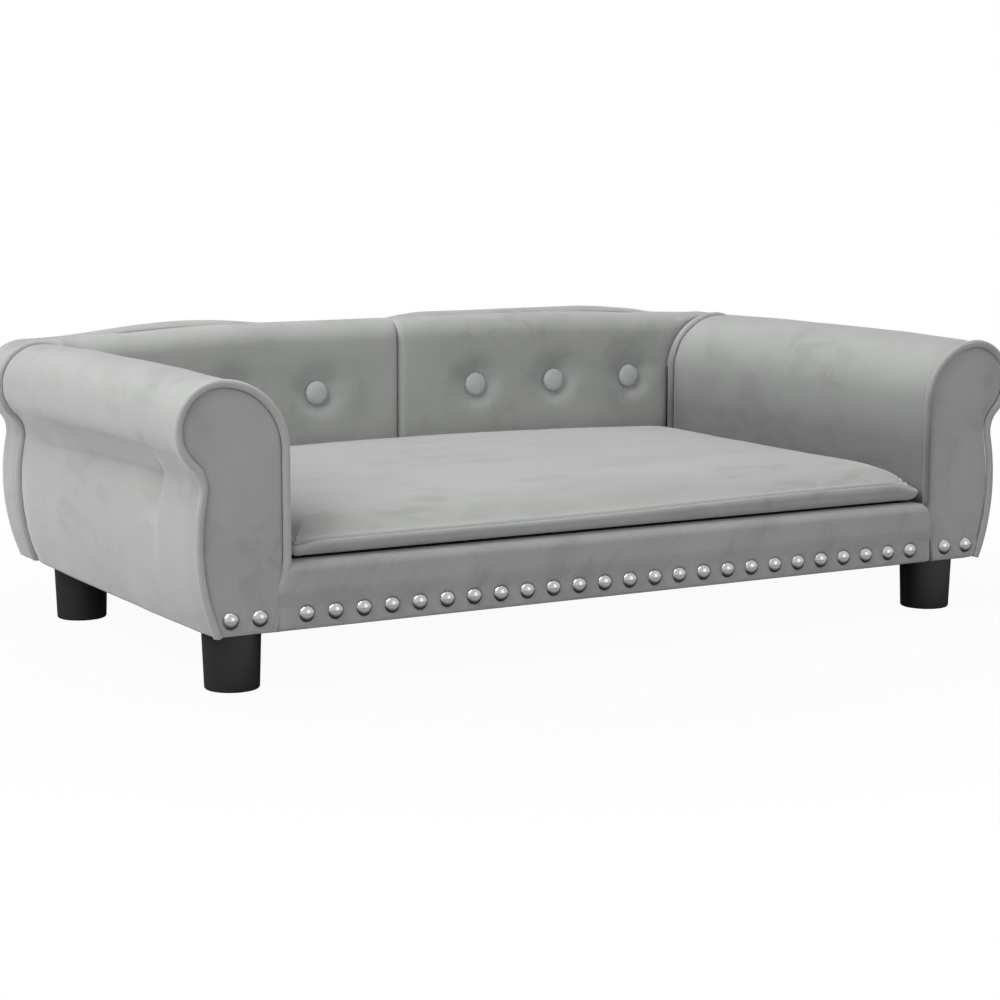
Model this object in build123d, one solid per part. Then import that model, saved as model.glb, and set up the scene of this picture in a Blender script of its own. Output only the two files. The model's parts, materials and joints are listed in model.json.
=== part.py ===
from build123d import *
import math
import os

os.makedirs("parts", exist_ok=True)

# Overall sizes, in millimetres, with X to the right, Y to the back and Z up
overall_width = 950.0
overall_depth = 550.0
overall_height = 300.0
leg_height = 55.2

# Upholstery layers and the clearances between them
fabric = 2.0
layer_gap = 0.3
foam_thickness = 8.0
overrun = 20.0

# Arms: a roll over a waist and a lower bulge
arm_width = 103.25
arm_below_back = 15.5
arm_roll_radius = 41.0
arm_waist_radius = 30.0
arm_bulge_radius = 216.0
arm_bulge_inset = 17.75
arm_bulge_rise = 84.0
arm_slant_rise = 64.0
arm_slant_reach = 12.0
arm_slant_radius = 60.0
arm_crown = 4.5
arm_rear_setback = 65.0
crown_shares = [(0.0, 0.0), (0.05, 0.55), (0.25, 0.95), (0.5, 1.0)]
front_piping_diameter = 7.5
rear_piping_diameter = 7.0
panel_pad = 6.0
panel_edge_radius = 2.5

# Boards and rails of the frame
board = 12.0
inner_panel_thickness = 6.0
arm_top_rail_size = 24.0
base_rail_height = 44.0
deck_thickness = 9.0
rail_board_thickness = 15.0
rail_board_height = 50.0
cleat_width = 14.0
cleat_height = 20.0
slat_width = 60.0
slat_height = 18.0
hardboard = 3.0
dust_cloth = 0.8
dust_margin = 8.0

# Front rail
rail_rise = 64.5
rail_lift = 3.0
rail_edge_radius = 10.0
rail_foam_thickness = 4.0
rail_return = 10.0
deck_cloth_thickness = 2.0

# Chrome nails
nail_diameter = 16.0
nail_head_height = 4.5
nail_pin_diameter = 2.0
nail_pin_length = 14.0
nail_pin_gap = 0.1
nail_count = 25
nail_row_margin = 24.6
nail_row_rise = 14.5
arm_nail_spacing = 28.5
arm_nail_inset = 51.5

# Feet
leg_top_diameter = 55.0
leg_bottom_diameter = 51.0
leg_edge_radius = 2.0
leg_side_inset = 70.0
leg_front_inset = 48.0
leg_rear_inset = 111.0
stud_diameter = 8.0
stud_length = 46.0
stud_depth = 26.0
tee_nut_diameter = 10.0
tee_nut_flange_diameter = 19.0
tee_nut_flange = 1.5

# Back unit
back_proud = 3.0
back_rear_radius = 24.0
back_rise_run = 180.0
back_front_drop = 5.0
back_crest_drop = 4.0
back_dip_span = 60.0
back_dip_depth = 6.0
back_frame_depth = 18.0
back_frame_drop = 20.0
back_rail_height = 30.0
post_width = 30.0
post_inset = 90.0

# Padded halves of the back
pad_front_setback = 59.0
pad_thickness = 25.7
pad_below_top = 4.5
pad_crest_share = 0.93
pad_end_drop = 5.2
pad_drop_inset = 48.0
pad_drop_run = 150.0
pad_seam_gap = 1.2
pad_seam_draw = 7.0
pad_seam_round = 30.0
pad_foot_draw = 7.0
pad_foot_rise = 45.0
pad_seam_steps = 5

# Tufts and their covered buttons
button_diameter = 26.0
button_height = 7.0
button_below_top = 84.0
button_first_x = 102.0
button_side_inset = 55.0
button_count = 3
tuft_diameter = 62.0
tuft_depth = 8.0
tuft_waist_share = 0.62
tuft_bend_share = 0.3
tie_diameter = 2.0
tie_gap = 0.5
toggle_diameter = 18.0
toggle_thickness = 2.5

# Seat cushion
cushion_side_gap = 1.2
cushion_front_setback = 7.0
cushion_rear_gap = 3.0
cushion_bottom_gap = 0.5
cushion_seam_rise = 13.0
cushion_edge_rise = 33.0
cushion_crown = 10.0
cushion_edge_round = 22.0
cushion_base_round = 9.0
cushion_side_draw = 2.5
cushion_corner = 25.0
cushion_front_round = 53.0
cushion_rear_round = 24.0
cushion_end_steps = 5
cushion_end_share = 0.2
cushion_base_fill_share = 1.5

# Zip at the rear of the cushion
zip_side_inset = 103.05
zip_width = 7.0
zip_rise = 3.0
zip_tape_thickness = 1.4
zip_recess = 3.0
zip_slider_length = 11.0
zip_slider_width = 6.0
zip_slider_thickness = 2.2
zip_pull_length = 16.0
zip_pull_width = 4.0
zip_pull_thickness = 0.8
zip_end_margin = 8.0

# Bolts and screws of the frame
bolt_diameter = 6.0
bolt_length = 46.0
rear_bolt_length = 36.0
bolt_gap = 0.3
bolt_head_diameter = 12.0
bolt_head_height = 3.0
arm_bolt_shares = (1 / 6, 1 / 10)
rear_bolt_shares = (-2 / 3, -1 / 4, 1 / 4, 2 / 3)
screw_diameter = 4.0
screw_length = 24.0
screw_head_diameter = 8.0
screw_head_height = 2.0
screw_column_shares = (-2 / 3, 0, 2 / 3)

# Places worked out from the sizes above
half_width = overall_width / 2
half_depth = overall_depth / 2
body_bottom = leg_height + dust_cloth
front_piping_radius = front_piping_diameter / 2
rear_piping_radius = rear_piping_diameter / 2
panel_face_y = -half_depth + nail_head_height
arm_rear_y = half_depth - arm_rear_setback
arm_height = overall_height - arm_below_back
arm_outer_x = half_width - front_piping_radius
arm_inner_x = arm_outer_x - arm_width
roll_centre_x = arm_outer_x - arm_roll_radius
shoulder_radius = roll_centre_x - arm_inner_x
bulge_height = body_bottom + arm_bulge_rise
slant_height = body_bottom + arm_slant_rise
slant = math.atan2(arm_slant_reach, arm_slant_rise)
bend_height = slant_height + arm_slant_radius * math.tan(slant / 2)
inner_panel_top = arm_height - shoulder_radius - layer_gap
arm_front_y = panel_face_y + front_piping_radius + layer_gap
arm_back_y = arm_rear_y - rear_piping_radius - layer_gap
back_start_y = arm_rear_y + rear_piping_radius + layer_gap
foam_outset = fabric + layer_gap
board_inset = foam_outset + foam_thickness + layer_gap
front_board_y = panel_face_y + panel_pad + layer_gap
pad_front_y = half_depth - pad_front_setback
pad_back_y = pad_front_y + pad_thickness
pad_drop_start = arm_inner_x - pad_drop_inset - pad_drop_run
hardboard_y = pad_back_y + layer_gap
frame_y = hardboard_y + hardboard
frame_back_y = frame_y + back_frame_depth
frame_top = overall_height - back_frame_drop
rail_bottom = body_bottom + rail_lift
rail_height = body_bottom + rail_rise
deck_level = rail_height - foam_outset
cloth_level = deck_level + deck_cloth_thickness
rail_board_top = deck_level - deck_thickness
rail_board_y = panel_face_y + foam_outset + rail_foam_thickness + layer_gap
cushion_level = cloth_level + cushion_bottom_gap
cushion_half_width = arm_inner_x - front_piping_radius - cushion_side_gap
cushion_front_y = -half_depth + cushion_front_setback
cushion_rear_y = pad_front_y - cushion_rear_gap
button_level = overall_height - button_below_top
button_last_x = arm_inner_x - button_side_inset
button_spacing = (button_last_x - button_first_x) / (button_count - 1)
zip_length = 2 * (cushion_half_width - zip_side_inset)
leg_x = half_width - leg_side_inset
leg_rows = {"front": -half_depth + leg_front_inset, "rear": half_depth - leg_rear_inset}
bolt_hole_radius = bolt_diameter / 2 + bolt_gap
nail_hole_radius = nail_pin_diameter / 2 + nail_pin_gap


def on_circle(centre, radius, angle):
    """Return the point of an upright circle at an angle in degrees from the X axis."""
    turn = math.radians(angle)
    return centre + Vector(radius * math.cos(turn), 0, radius * math.sin(turn))


def upright_arc(centre, radius, start, end):
    """Return an arc in a plane across the depth, between two angles in degrees."""
    middle = (start + end) / 2
    points = [on_circle(centre, radius, angle) for angle in (start, middle, end)]
    return ThreePointArc(*points)


def bearing(centre, point):
    """Return the angle in degrees from a centre to a point, in a plane across the depth."""
    return math.degrees(math.atan2(point.Z - centre.Z, point.X - centre.X))


def outer_meeting(centre_a, reach_a, centre_b, reach_b):
    """Return the outer point at two given distances from two centres."""
    span = centre_b - centre_a
    along = (reach_a**2 - reach_b**2 + span.length**2) / (2 * span.length)
    aside = math.sqrt(reach_a**2 - along**2)
    step = span.normalized()
    return centre_a + step * along + Vector(-step.Z, 0, step.X) * aside


def box(low, high):
    """Return a block between two corners."""
    size = [b - a for a, b in zip(low, high)]
    return Solid.make_box(*size, Plane(origin=low))


def bar(start, direction, radius, length):
    """Return a round bar from a point along a direction."""
    return Solid.make_cylinder(radius, length, Plane(origin=start, z_dir=direction))


def prism(edges, direction):
    """Return a closed outline carried straight along a direction."""
    return Solid.extrude(Face(Wire(edges)), Vector(direction))


def mirrored(shape):
    """Return the mirror image on the left side."""
    return shape.mirror(Plane.YZ)


def ruled(wires):
    """Return the solid that runs straight from each outline to the next."""
    solid = Solid.make_loft(wires, True)
    return solid if solid.volume > 0 else Solid.make_loft(wires[::-1], True)


def group(solids):
    """Return separate solids as one group."""
    return Compound(children=list(solids))


def save(name, shape):
    """Write one piece."""
    export_step(shape, f"parts/{name}.step")


def save_pair(pattern, right):
    """Write a piece of the right side and its mirror image on the left."""
    save(pattern.format("right"), right)
    save(pattern.format("left"), mirrored(right))


# Outline of the arm
def arm_edges(inset, y, crown=0.0):
    """Return the arm's outline, from the outer foot over the roll to the inner foot."""
    top = arm_height + crown
    roll = Vector(roll_centre_x, y, top - arm_roll_radius)
    shoulder = Vector(roll_centre_x, y, top - shoulder_radius)
    bulge_x = arm_outer_x - arm_bulge_inset + crown - arm_bulge_radius
    bulge = Vector(bulge_x, y, bulge_height)
    roll_reach = arm_roll_radius + arm_waist_radius
    bulge_reach = arm_bulge_radius + arm_waist_radius
    waist = outer_meeting(roll, roll_reach, bulge, bulge_reach)
    bulge_radius = arm_bulge_radius - inset
    foot_angle = -math.degrees(math.asin(arm_bulge_rise / bulge_radius))
    waist_angles = (bearing(waist, bulge) % 360, bearing(waist, roll) % 360)
    bend = Vector(arm_inner_x + arm_slant_radius, y, bend_height)
    bend_radius = arm_slant_radius - inset
    bend_angle = 180 + math.degrees(slant)
    bend_end = on_circle(bend, bend_radius, bend_angle)
    foot_x = bend_end.X + (bend_end.Z - body_bottom) * math.tan(slant)
    shoulder_end = on_circle(shoulder, shoulder_radius - inset, 180)
    return [
        upright_arc(bulge, bulge_radius, foot_angle, bearing(bulge, waist)),
        upright_arc(waist, arm_waist_radius + inset, *waist_angles),
        upright_arc(roll, arm_roll_radius - inset, bearing(roll, waist), 90),
        upright_arc(shoulder, shoulder_radius - inset, 90, 180),
        Line(shoulder_end, Vector(arm_inner_x + inset, y, bend_height)),
        upright_arc(bend, bend_radius, 180, bend_angle),
        Line(bend_end, Vector(foot_x, y, body_bottom)),
    ]


def closed(edges):
    """Return the edges with a straight one that joins their two ends."""
    return edges + [Line(edges[-1] @ 1, edges[0] @ 0)]


def arm_form(inset):
    """Return the padded arm as one smooth body, fuller in the middle of its length."""
    places = crown_shares + [(1 - place, share) for place, share in reversed(crown_shares[:-1])]
    wires = []
    for place, share in places:
        y = arm_front_y + (arm_back_y - arm_front_y) * place
        wires.append(Wire(closed(arm_edges(inset, y, arm_crown * share))))
    return Solid.make_loft(wires)


def arm_slab(inset, start, end):
    """Return a board or panel cut to the arm's outline, between two depths."""
    return prism(closed(arm_edges(inset, start)), (0, end - start, 0))


def piping(radius, y):
    """Return the piping round the arm's outline, cut level with the bottom."""
    path = Wire(arm_edges(0, y))
    section = Plane(origin=path @ 0, z_dir=path % 0) * Circle(radius)
    tube = Solid.sweep(section.face().outer_wire(), path)
    below = box((0, y - overrun, 0), (overall_width, y + overrun, body_bottom))
    return tube - below


def dome(x, seat_y, z, diameter, height):
    """Return a domed head whose flat back lies at a depth and which bulges to the front."""
    radius = diameter / 2
    ball_radius = (radius**2 + height**2) / (2 * height)
    centre_y = seat_y - height + ball_radius
    ball = Solid.make_sphere(ball_radius, Plane(origin=(x, centre_y, z)), -90, 90)
    reach = ball_radius + overrun
    return ball - box((x - reach, seat_y, z - reach), (x + reach, centre_y + reach, z + reach))


def nail(x, y, z):
    """Return a domed nail driven back into the front."""
    head = dome(x, y, z, nail_diameter, nail_head_height)
    return head + bar((x, y, z), (0, 1, 0), nail_pin_diameter / 2, nail_pin_length)


def nail_hole(x, y, z):
    """Return the space of one nail's pin."""
    start = (x, y - overrun, z)
    return bar(start, (0, 1, 0), nail_hole_radius, overrun + nail_pin_length + layer_gap)


def bolt(seat, direction, length=bolt_length):
    """Return a bolt whose head bears on a seat."""
    way = Vector(direction)
    shank = bar(seat, way, bolt_diameter / 2, length)
    head = bar(seat, way * -1, bolt_head_diameter / 2, bolt_head_height)
    return shank + head


def bolt_hole(seat, direction, length=bolt_length):
    """Return the clear hole of a bolt."""
    return bar(seat, Vector(direction), bolt_hole_radius, length + layer_gap)


def rail_end_x(z, inset):
    """Return how far the padded rail reaches to the side at a height."""
    on_arm = arm_inner_x + (slant_height - z) * math.tan(slant)
    return on_arm - (front_piping_radius + layer_gap + inset) / math.cos(slant)


# Feet, their studs and tee nuts
up = (0, 0, 1)
stud_hole_radius = stud_diameter / 2 + layer_gap
tee_hole_radius = tee_nut_diameter / 2 + layer_gap
studs = []
tee_nuts = []
for end, y in leg_rows.items():
    for side, x in (("left", -leg_x), ("right", leg_x)):
        foot = Solid.make_cone(
            leg_bottom_diameter / 2, leg_top_diameter / 2, leg_height, Plane(origin=(x, y, 0))
        )
        foot = foot.fillet(leg_edge_radius, [foot.edges().sort_by(Axis.Z)[0]])
        stud_start = (x, y, leg_height - stud_depth)
        foot = foot - bar(stud_start, up, stud_hole_radius, stud_depth + overrun)
        save(f"leg_{end}_{side}", foot)
        studs.append(bar(stud_start, up, stud_diameter / 2, stud_length))
        barrel = bar((x, y, body_bottom), up, tee_nut_diameter / 2, board)
        flange_start = (x, y, body_bottom + board)
        flange = bar(flange_start, up, tee_nut_flange_diameter / 2, tee_nut_flange)
        bore = bar((x, y, 0), up, stud_hole_radius, overall_height)
        tee_nuts.append(barrel + flange - bore)
save("leg_studs", group(studs))
save("leg_t_nuts", group(tee_nuts))

# Bolts: arms to side cleats, arms to back, seat to back
frame_half = rail_end_x(rail_height, foam_outset)
cleat_inner_x = frame_half - cleat_width
cleat_bottom = rail_board_top - cleat_height
rear_rail_y = hardboard_y - layer_gap - rail_board_thickness
rear_board_y = arm_back_y - board
end_board_y = back_start_y + layer_gap
post_inner_x = half_width - post_inset
post_x = post_inner_x + post_width / 2
cleat_bolt_z = rail_board_top - cleat_height / 2
arm_bolt_rows = [
    leg_rows["front"] + overall_depth * arm_bolt_shares[0],
    leg_rows["rear"] - overall_depth * arm_bolt_shares[1],
]
arm_bolts = [((cleat_inner_x, y, cleat_bolt_z), (1, 0, 0)) for y in arm_bolt_rows]
arm_bolts += [
    ((post_x, rear_board_y, z), (0, 1, 0))
    for z in (slant_height + bolt_head_diameter, inner_panel_top)
]
rear_bolt_z = body_bottom + back_rail_height / 2
rear_bolts = [
    ((arm_inner_x * share, rear_rail_y, rear_bolt_z), (0, 1, 0), rear_bolt_length)
    for share in rear_bolt_shares
]
right_bolts = group([bolt(*place) for place in arm_bolts])
right_bolt_holes = [bolt_hole(*place) for place in arm_bolts]
left_bolt_holes = [mirrored(hole) for hole in right_bolt_holes]
rear_bolt_holes = [bolt_hole(*place) for place in rear_bolts]
save(
    "frame_bolts",
    group(
        [bolt(*place) for place in arm_bolts]
        + [mirrored(bolt(*place)) for place in arm_bolts]
        + [bolt(*place) for place in rear_bolts]
    ),
)

# Arm frames
bay_start = front_board_y + board
bay_end = rear_board_y
arm_nail_xs = [half_width - arm_nail_inset - shift * arm_nail_spacing for shift in (0, 1)]
nail_row_z = body_bottom + nail_row_rise
arm_nail_holes = [nail_hole(x, panel_face_y, nail_row_z) for x in arm_nail_xs]
board_outline = arm_edges(board_inset, 0)
board_foot_outer_x = (board_outline[0] @ 0).X
board_foot_inner_x = (board_outline[-1] @ 1).X
bottom_board_top = body_bottom + board

front_board = arm_slab(board_inset, front_board_y, bay_start) - arm_nail_holes
save_pair("arm_{}_front_board", front_board)

rear_board = arm_slab(board_inset, rear_board_y, arm_back_y) - right_bolt_holes
save_pair("arm_{}_rear_board", rear_board)

bottom_board = box(
    (board_foot_inner_x, bay_start, body_bottom), (board_foot_outer_x, bay_end, bottom_board_top)
)
for y in leg_rows.values():
    bottom_board = bottom_board - bar((leg_x, y, 0), up, tee_hole_radius, overall_height)
save_pair("arm_{}_bottom_board", bottom_board)

base_rail = box(
    (board_foot_inner_x, bay_start, bottom_board_top),
    (board_foot_inner_x + board, bay_end, bottom_board_top + base_rail_height),
)
for y in leg_rows.values():
    base_rail = base_rail - bar(
        (leg_x, y, body_bottom), up, tee_nut_flange_diameter / 2 + layer_gap, board + stud_length
    )
save_pair("arm_{}_base_rail", base_rail - right_bolt_holes)

top_rail_x = roll_centre_x - arm_top_rail_size / 2
top_rail_z = arm_height - arm_roll_radius - arm_top_rail_size / 2
arm_top_rail = box(
    (top_rail_x, bay_start, top_rail_z),
    (top_rail_x + arm_top_rail_size, bay_end, top_rail_z + arm_top_rail_size),
)
save_pair("arm_{}_top_rail", arm_top_rail)

inner_panel_x = arm_inner_x + board_inset
inner_panel = box(
    (inner_panel_x, bay_start, bend_height),
    (inner_panel_x + inner_panel_thickness, bay_end, inner_panel_top),
)
save_pair("arm_{}_inner_panel", inner_panel)

# Arm upholstery
arm_core = arm_slab(board_inset - layer_gap, arm_front_y - overrun, arm_back_y + overrun)
ahead = box(
    (0, arm_front_y - overrun, 0), (overall_width, front_board_y, overall_height + overrun)
)
arm_foam = arm_form(foam_outset) - arm_core - ahead - right_bolt_holes
save_pair("arm_{}_foam", arm_foam)

arm_cover = arm_form(0) - arm_form(fabric) - right_bolt_holes
save_pair("arm_{}_cover", arm_cover)

panel_inset = front_piping_radius + layer_gap
front_panel = arm_slab(panel_inset, panel_face_y, panel_face_y + panel_pad)
front_edges = front_panel.faces().sort_by(Axis.Y)[0].edges()
front_panel = front_panel.fillet(panel_edge_radius, front_edges) - arm_nail_holes
save_pair("arm_{}_front_panel", front_panel)

save_pair("arm_{}_front_piping", piping(front_piping_radius, panel_face_y))
save_pair("arm_{}_rear_piping", piping(rear_piping_radius, arm_rear_y))

arm_nails = [nail(x, panel_face_y, nail_row_z) for x in arm_nail_xs]
save("arm_nails", group(arm_nails + [mirrored(one) for one in arm_nails]))


# Front rail
def rail_end_cut(inset):
    """Return what lies past the rail's right end, which leans and has a rounded top corner."""
    radius = rail_edge_radius - inset
    level = rail_height - inset - radius
    y = -half_depth - overrun
    centre = Vector(rail_end_x(level, inset) - radius / math.cos(slant), y, level)
    corner = upright_arc(centre, radius, math.degrees(slant), 90)
    low = body_bottom - overrun
    high = rail_height + overrun
    edges = [
        Line((rail_end_x(low, inset), y, low), corner @ 0),
        corner,
        Line(corner @ 1, (centre.X, y, high)),
        Line((centre.X, y, high), (overall_width, y, high)),
        Line((overall_width, y, high), (overall_width, y, low)),
    ]
    return prism(closed(edges), (0, overall_depth, 0))


def rail_form(inset):
    """Return the padded rail's body, rounded along its top edge and at its top corners."""
    top = rail_height - inset
    radius = rail_edge_radius - inset
    front_y = panel_face_y + inset
    back_y = panel_face_y + rail_edge_radius + rail_return + (overrun if inset else 0)
    lean = radius * (1 - math.sqrt(1 / 2))
    start_x = -half_width
    knee = Vector(start_x, front_y, top - radius)
    shoulder = Vector(start_x, front_y + radius, top)
    side = [
        Line((start_x, front_y, rail_bottom), knee),
        ThreePointArc(knee, (start_x, front_y + lean, top - lean), shoulder),
        Line(shoulder, (start_x, back_y, top)),
        Line((start_x, back_y, top), (start_x, back_y, rail_bottom)),
    ]
    length = prism(closed(side), (overall_width, 0, 0))
    end_cut = rail_end_cut(inset)
    return length - end_cut - mirrored(end_cut)


nail_row_reach = rail_end_x(nail_row_z, 0) - nail_row_margin
nail_pitch = 2 * nail_row_reach / (nail_count - 1)
rail_nail_xs = [-nail_row_reach + nail_pitch * step for step in range(nail_count)]
rail_nail_holes = [nail_hole(x, panel_face_y, nail_row_z) for x in rail_nail_xs]
save("rail_nails", group([nail(x, panel_face_y, nail_row_z) for x in rail_nail_xs]))

rail_cover = rail_form(0) - rail_form(fabric) - rail_nail_holes
save("rail_cover", rail_cover)

rail_foam_back_y = rail_board_y - layer_gap
rail_foam_space = box(
    (-half_width, -half_depth, 0), (half_width, rail_foam_back_y, overall_height)
)
save("rail_foam", (rail_form(foam_outset) & rail_foam_space) - rail_nail_holes)

# Seat frame and deck
deck_half = frame_half - rail_edge_radius + foam_outset
rail_board_bottom = rail_board_top - rail_board_height
rail_board_back_y = rail_board_y + rail_board_thickness
front_rail_board = box(
    (-frame_half, rail_board_y, rail_board_bottom), (frame_half, rail_board_back_y, rail_board_top)
)
rear_rail_board = box(
    (-frame_half, rear_rail_y, rail_board_bottom),
    (frame_half, rear_rail_y + rail_board_thickness, rail_board_top),
)
cleat = box(
    (cleat_inner_x, rail_board_back_y, cleat_bottom), (frame_half, rear_rail_y, rail_board_top)
)
centre_slat = box(
    (-slat_width / 2, rail_board_back_y, rail_board_top - slat_height),
    (slat_width / 2, rear_rail_y, rail_board_top),
)
deck_front_y = panel_face_y + rail_edge_radius
deck_back_y = hardboard_y - layer_gap
deck_board = box((-deck_half, deck_front_y, rail_board_top), (deck_half, deck_back_y, deck_level))
deck_cloth = box(
    (-deck_half, deck_front_y + rail_return + layer_gap, deck_level),
    (deck_half, deck_back_y, cloth_level),
)


def screw(x, y):
    """Return a screw sunk level with the deck board."""
    shank = bar((x, y, deck_level - screw_length), up, screw_diameter / 2, screw_length)
    head_start = (x, y, deck_level - screw_head_height)
    return shank + bar(head_start, up, screw_head_diameter / 2, screw_head_height)


def screw_hole(x, y):
    """Return the space of one deck screw."""
    depth = screw_length + layer_gap
    shank = bar((x, y, deck_level - depth), up, screw_diameter / 2 + layer_gap, depth)
    head_start = (x, y, deck_level - screw_head_height)
    head = bar(head_start, up, screw_head_diameter / 2 + layer_gap, screw_head_height)
    return shank + head


screw_rows = [
    rail_board_back_y - rail_board_thickness / 3,
    rear_rail_y + rail_board_thickness / 2,
]
screw_columns = [deck_half * share for share in screw_column_shares]
cleat_x = (cleat_inner_x + deck_half) / 2
screw_places = [(x, y) for x in screw_columns for y in screw_rows]
screw_places += [(x, y) for x in (-cleat_x, cleat_x) for y in leg_rows.values()]
screw_holes = [screw_hole(x, y) for x, y in screw_places]
save("deck_screws", group([screw(x, y) for x, y in screw_places]))
save("front_rail_board", front_rail_board - screw_holes - rail_nail_holes)
save("rear_rail_board", rear_rail_board - screw_holes - rear_bolt_holes)
cleat_holes = screw_holes + right_bolt_holes + left_bolt_holes
save("side_cleats", group([cleat - cleat_holes, mirrored(cleat) - cleat_holes]))
save("centre_slat", centre_slat)
save("deck_board", deck_board - screw_holes)
save("deck_cloth", deck_cloth)

dust_half = (arm_edges(0, 0)[0] @ 0).X - dust_margin
dust_cover = box(
    (-dust_half, front_board_y, leg_height), (dust_half, frame_back_y, body_bottom)
)
for y in leg_rows.values():
    for x in (-leg_x, leg_x):
        dust_cover = dust_cover - bar((x, y, 0), up, stud_hole_radius, body_bottom + board)
save("dust_cover", dust_cover)

# Frame of the back
rail_low_top = body_bottom + back_rail_height
rail_high_bottom = frame_top - back_rail_height
back_top_rail = box(
    (-post_inner_x, frame_y, rail_high_bottom), (post_inner_x, frame_back_y, frame_top)
)
back_bottom_rail = box(
    (-post_inner_x, frame_y, body_bottom), (post_inner_x, frame_back_y, rail_low_top)
)
centre_post = box(
    (-post_width / 2, frame_y, rail_low_top), (post_width / 2, frame_back_y, rail_high_bottom)
)
end_post_y = end_board_y + board
end_post = box(
    (post_inner_x, end_post_y, body_bottom), (post_inner_x + post_width, frame_back_y, frame_top)
)
end_post = end_post - right_bolt_holes
end_board = arm_slab(board_inset, end_board_y, end_post_y) - right_bolt_holes
save("back_rails", group([back_top_rail, back_bottom_rail - rear_bolt_holes]))
save("back_posts", group([mirrored(end_post), centre_post, end_post]))
save("back_end_boards", group([mirrored(end_board), end_board]))

# Buttons, their ties and toggles
button_xs = [button_first_x + button_spacing * step for step in range(button_count)]
button_seat_y = pad_front_y + tuft_depth
button_places = [(sign * x, button_level) for sign in (-1, 1) for x in button_xs]

back = (0, 1, 0)
toggle_end_y = frame_y + toggle_thickness
tie_length = toggle_end_y - button_seat_y
tie_hole_radius = tie_diameter / 2 + tie_gap
tie_holes = [
    bar((x, button_seat_y - overrun, z), back, tie_hole_radius, tie_length + overrun * 2)
    for x, z in button_places
]
buttons = [
    dome(x, button_seat_y, z, button_diameter, button_height) for x, z in button_places
]
save("back_buttons_left", group(buttons[:button_count]))
save("back_buttons_right", group(buttons[button_count:]))
ties = [bar((x, button_seat_y, z), back, tie_diameter / 2, tie_length) for x, z in button_places]
save("button_ties", group(ties))
toggles = [
    bar((x, frame_y, z), back, toggle_diameter / 2, toggle_thickness) - hole
    for (x, z), hole in zip(button_places, tie_holes)
]
save("button_toggles", group(toggles))

hardboard_half = post_inner_x - layer_gap
back_board = box(
    (-hardboard_half, hardboard_y, body_bottom), (hardboard_half, frame_y, frame_top)
)
save("back_board", back_board - rear_bolt_holes - tie_holes)


# Padded halves of the back
def pad_edges(x, draw, inset):
    """Return the pad's outline across its length at one place."""
    drop_share = min(max((x - pad_drop_start) / pad_drop_run, 0), 1) ** 2
    top = overall_height - pad_below_top - pad_end_drop * drop_share - draw / 2 - inset
    front = pad_front_y + draw + inset
    rear = pad_back_y - inset
    foot = cloth_level + layer_gap + inset
    radius = (rear - front) * pad_crest_share
    knee = foot + pad_foot_rise
    foot_front = front + pad_foot_draw * (rear - front) / pad_thickness
    bow = Vector(x, front + (foot_front - front) / 4, foot + pad_foot_rise / 2)
    lean = math.sqrt(1 / 2)
    crest = Vector(x, front + radius * (1 - lean), top - radius * (1 - lean))
    return [
        ThreePointArc((x, foot_front, foot), bow, (x, front, knee)),
        Line((x, front, knee), (x, front, top - radius)),
        ThreePointArc((x, front, top - radius), crest, (x, front + radius, top)),
        Line((x, front + radius, top), (x, rear, top)),
        Line((x, rear, top), (x, rear, foot)),
    ]


def tuft(x, inset):
    """Return the hollow that one button pulls into the pad."""
    rim = tuft_diameter / 2 + inset
    waist = button_diameter / 2 * (1 + layer_gap) + inset
    face_y = pad_front_y + inset
    floor_y = button_seat_y + inset
    bend_r = waist + (rim - waist) * tuft_bend_share
    bend_y = face_y + tuft_depth * (1 - tuft_waist_share)
    edges = [
        Line((x, face_y - overrun, button_level), (x + rim, face_y - overrun, button_level)),
        Line((x + rim, face_y - overrun, button_level), (x + rim, face_y, button_level)),
        ThreePointArc(
            (x + rim, face_y, button_level),
            (x + bend_r, bend_y, button_level),
            (x + waist, floor_y, button_level),
        ),
        Line((x + waist, floor_y, button_level), (x, floor_y, button_level)),
    ]
    face = Face(Wire(closed(edges)))
    return Solid.revolve(face, 360, Axis((x, 0, button_level), back))


def pad_form(inset):
    """Return the right half of the padded back with its tufts."""
    inner_x = pad_seam_gap / 2 + inset
    outer_x = arm_inner_x - layer_gap - inset
    turns = [math.radians(90 * step / pad_seam_steps) for step in range(pad_seam_steps + 1)]
    rounding = [(pad_seam_round * (1 - math.cos(t)), 1 - math.sin(t)) for t in turns]
    stations = [(inner_x + reach, share) for reach, share in rounding]
    run = pad_drop_start + pad_drop_run
    stations += [(pad_drop_start + pad_drop_run * place, 0) for place in (0, 1 / 4, 1 / 2, 3 / 4)]
    stations += [(run, 0)] if run < outer_x - pad_seam_round else []
    stations += [(outer_x - reach, share) for reach, share in reversed(rounding)]
    wires = [Wire(closed(pad_edges(x, pad_seam_draw * share, inset))) for x, share in stations]
    return ruled(wires) - [tuft(x, inset) for x in button_xs]


pad_outer = pad_form(0)
save_pair("back_pad_{}_cover", pad_outer - pad_form(fabric) - tie_holes)
save_pair("back_pad_{}_core", pad_form(foam_outset) - tie_holes)


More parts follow.
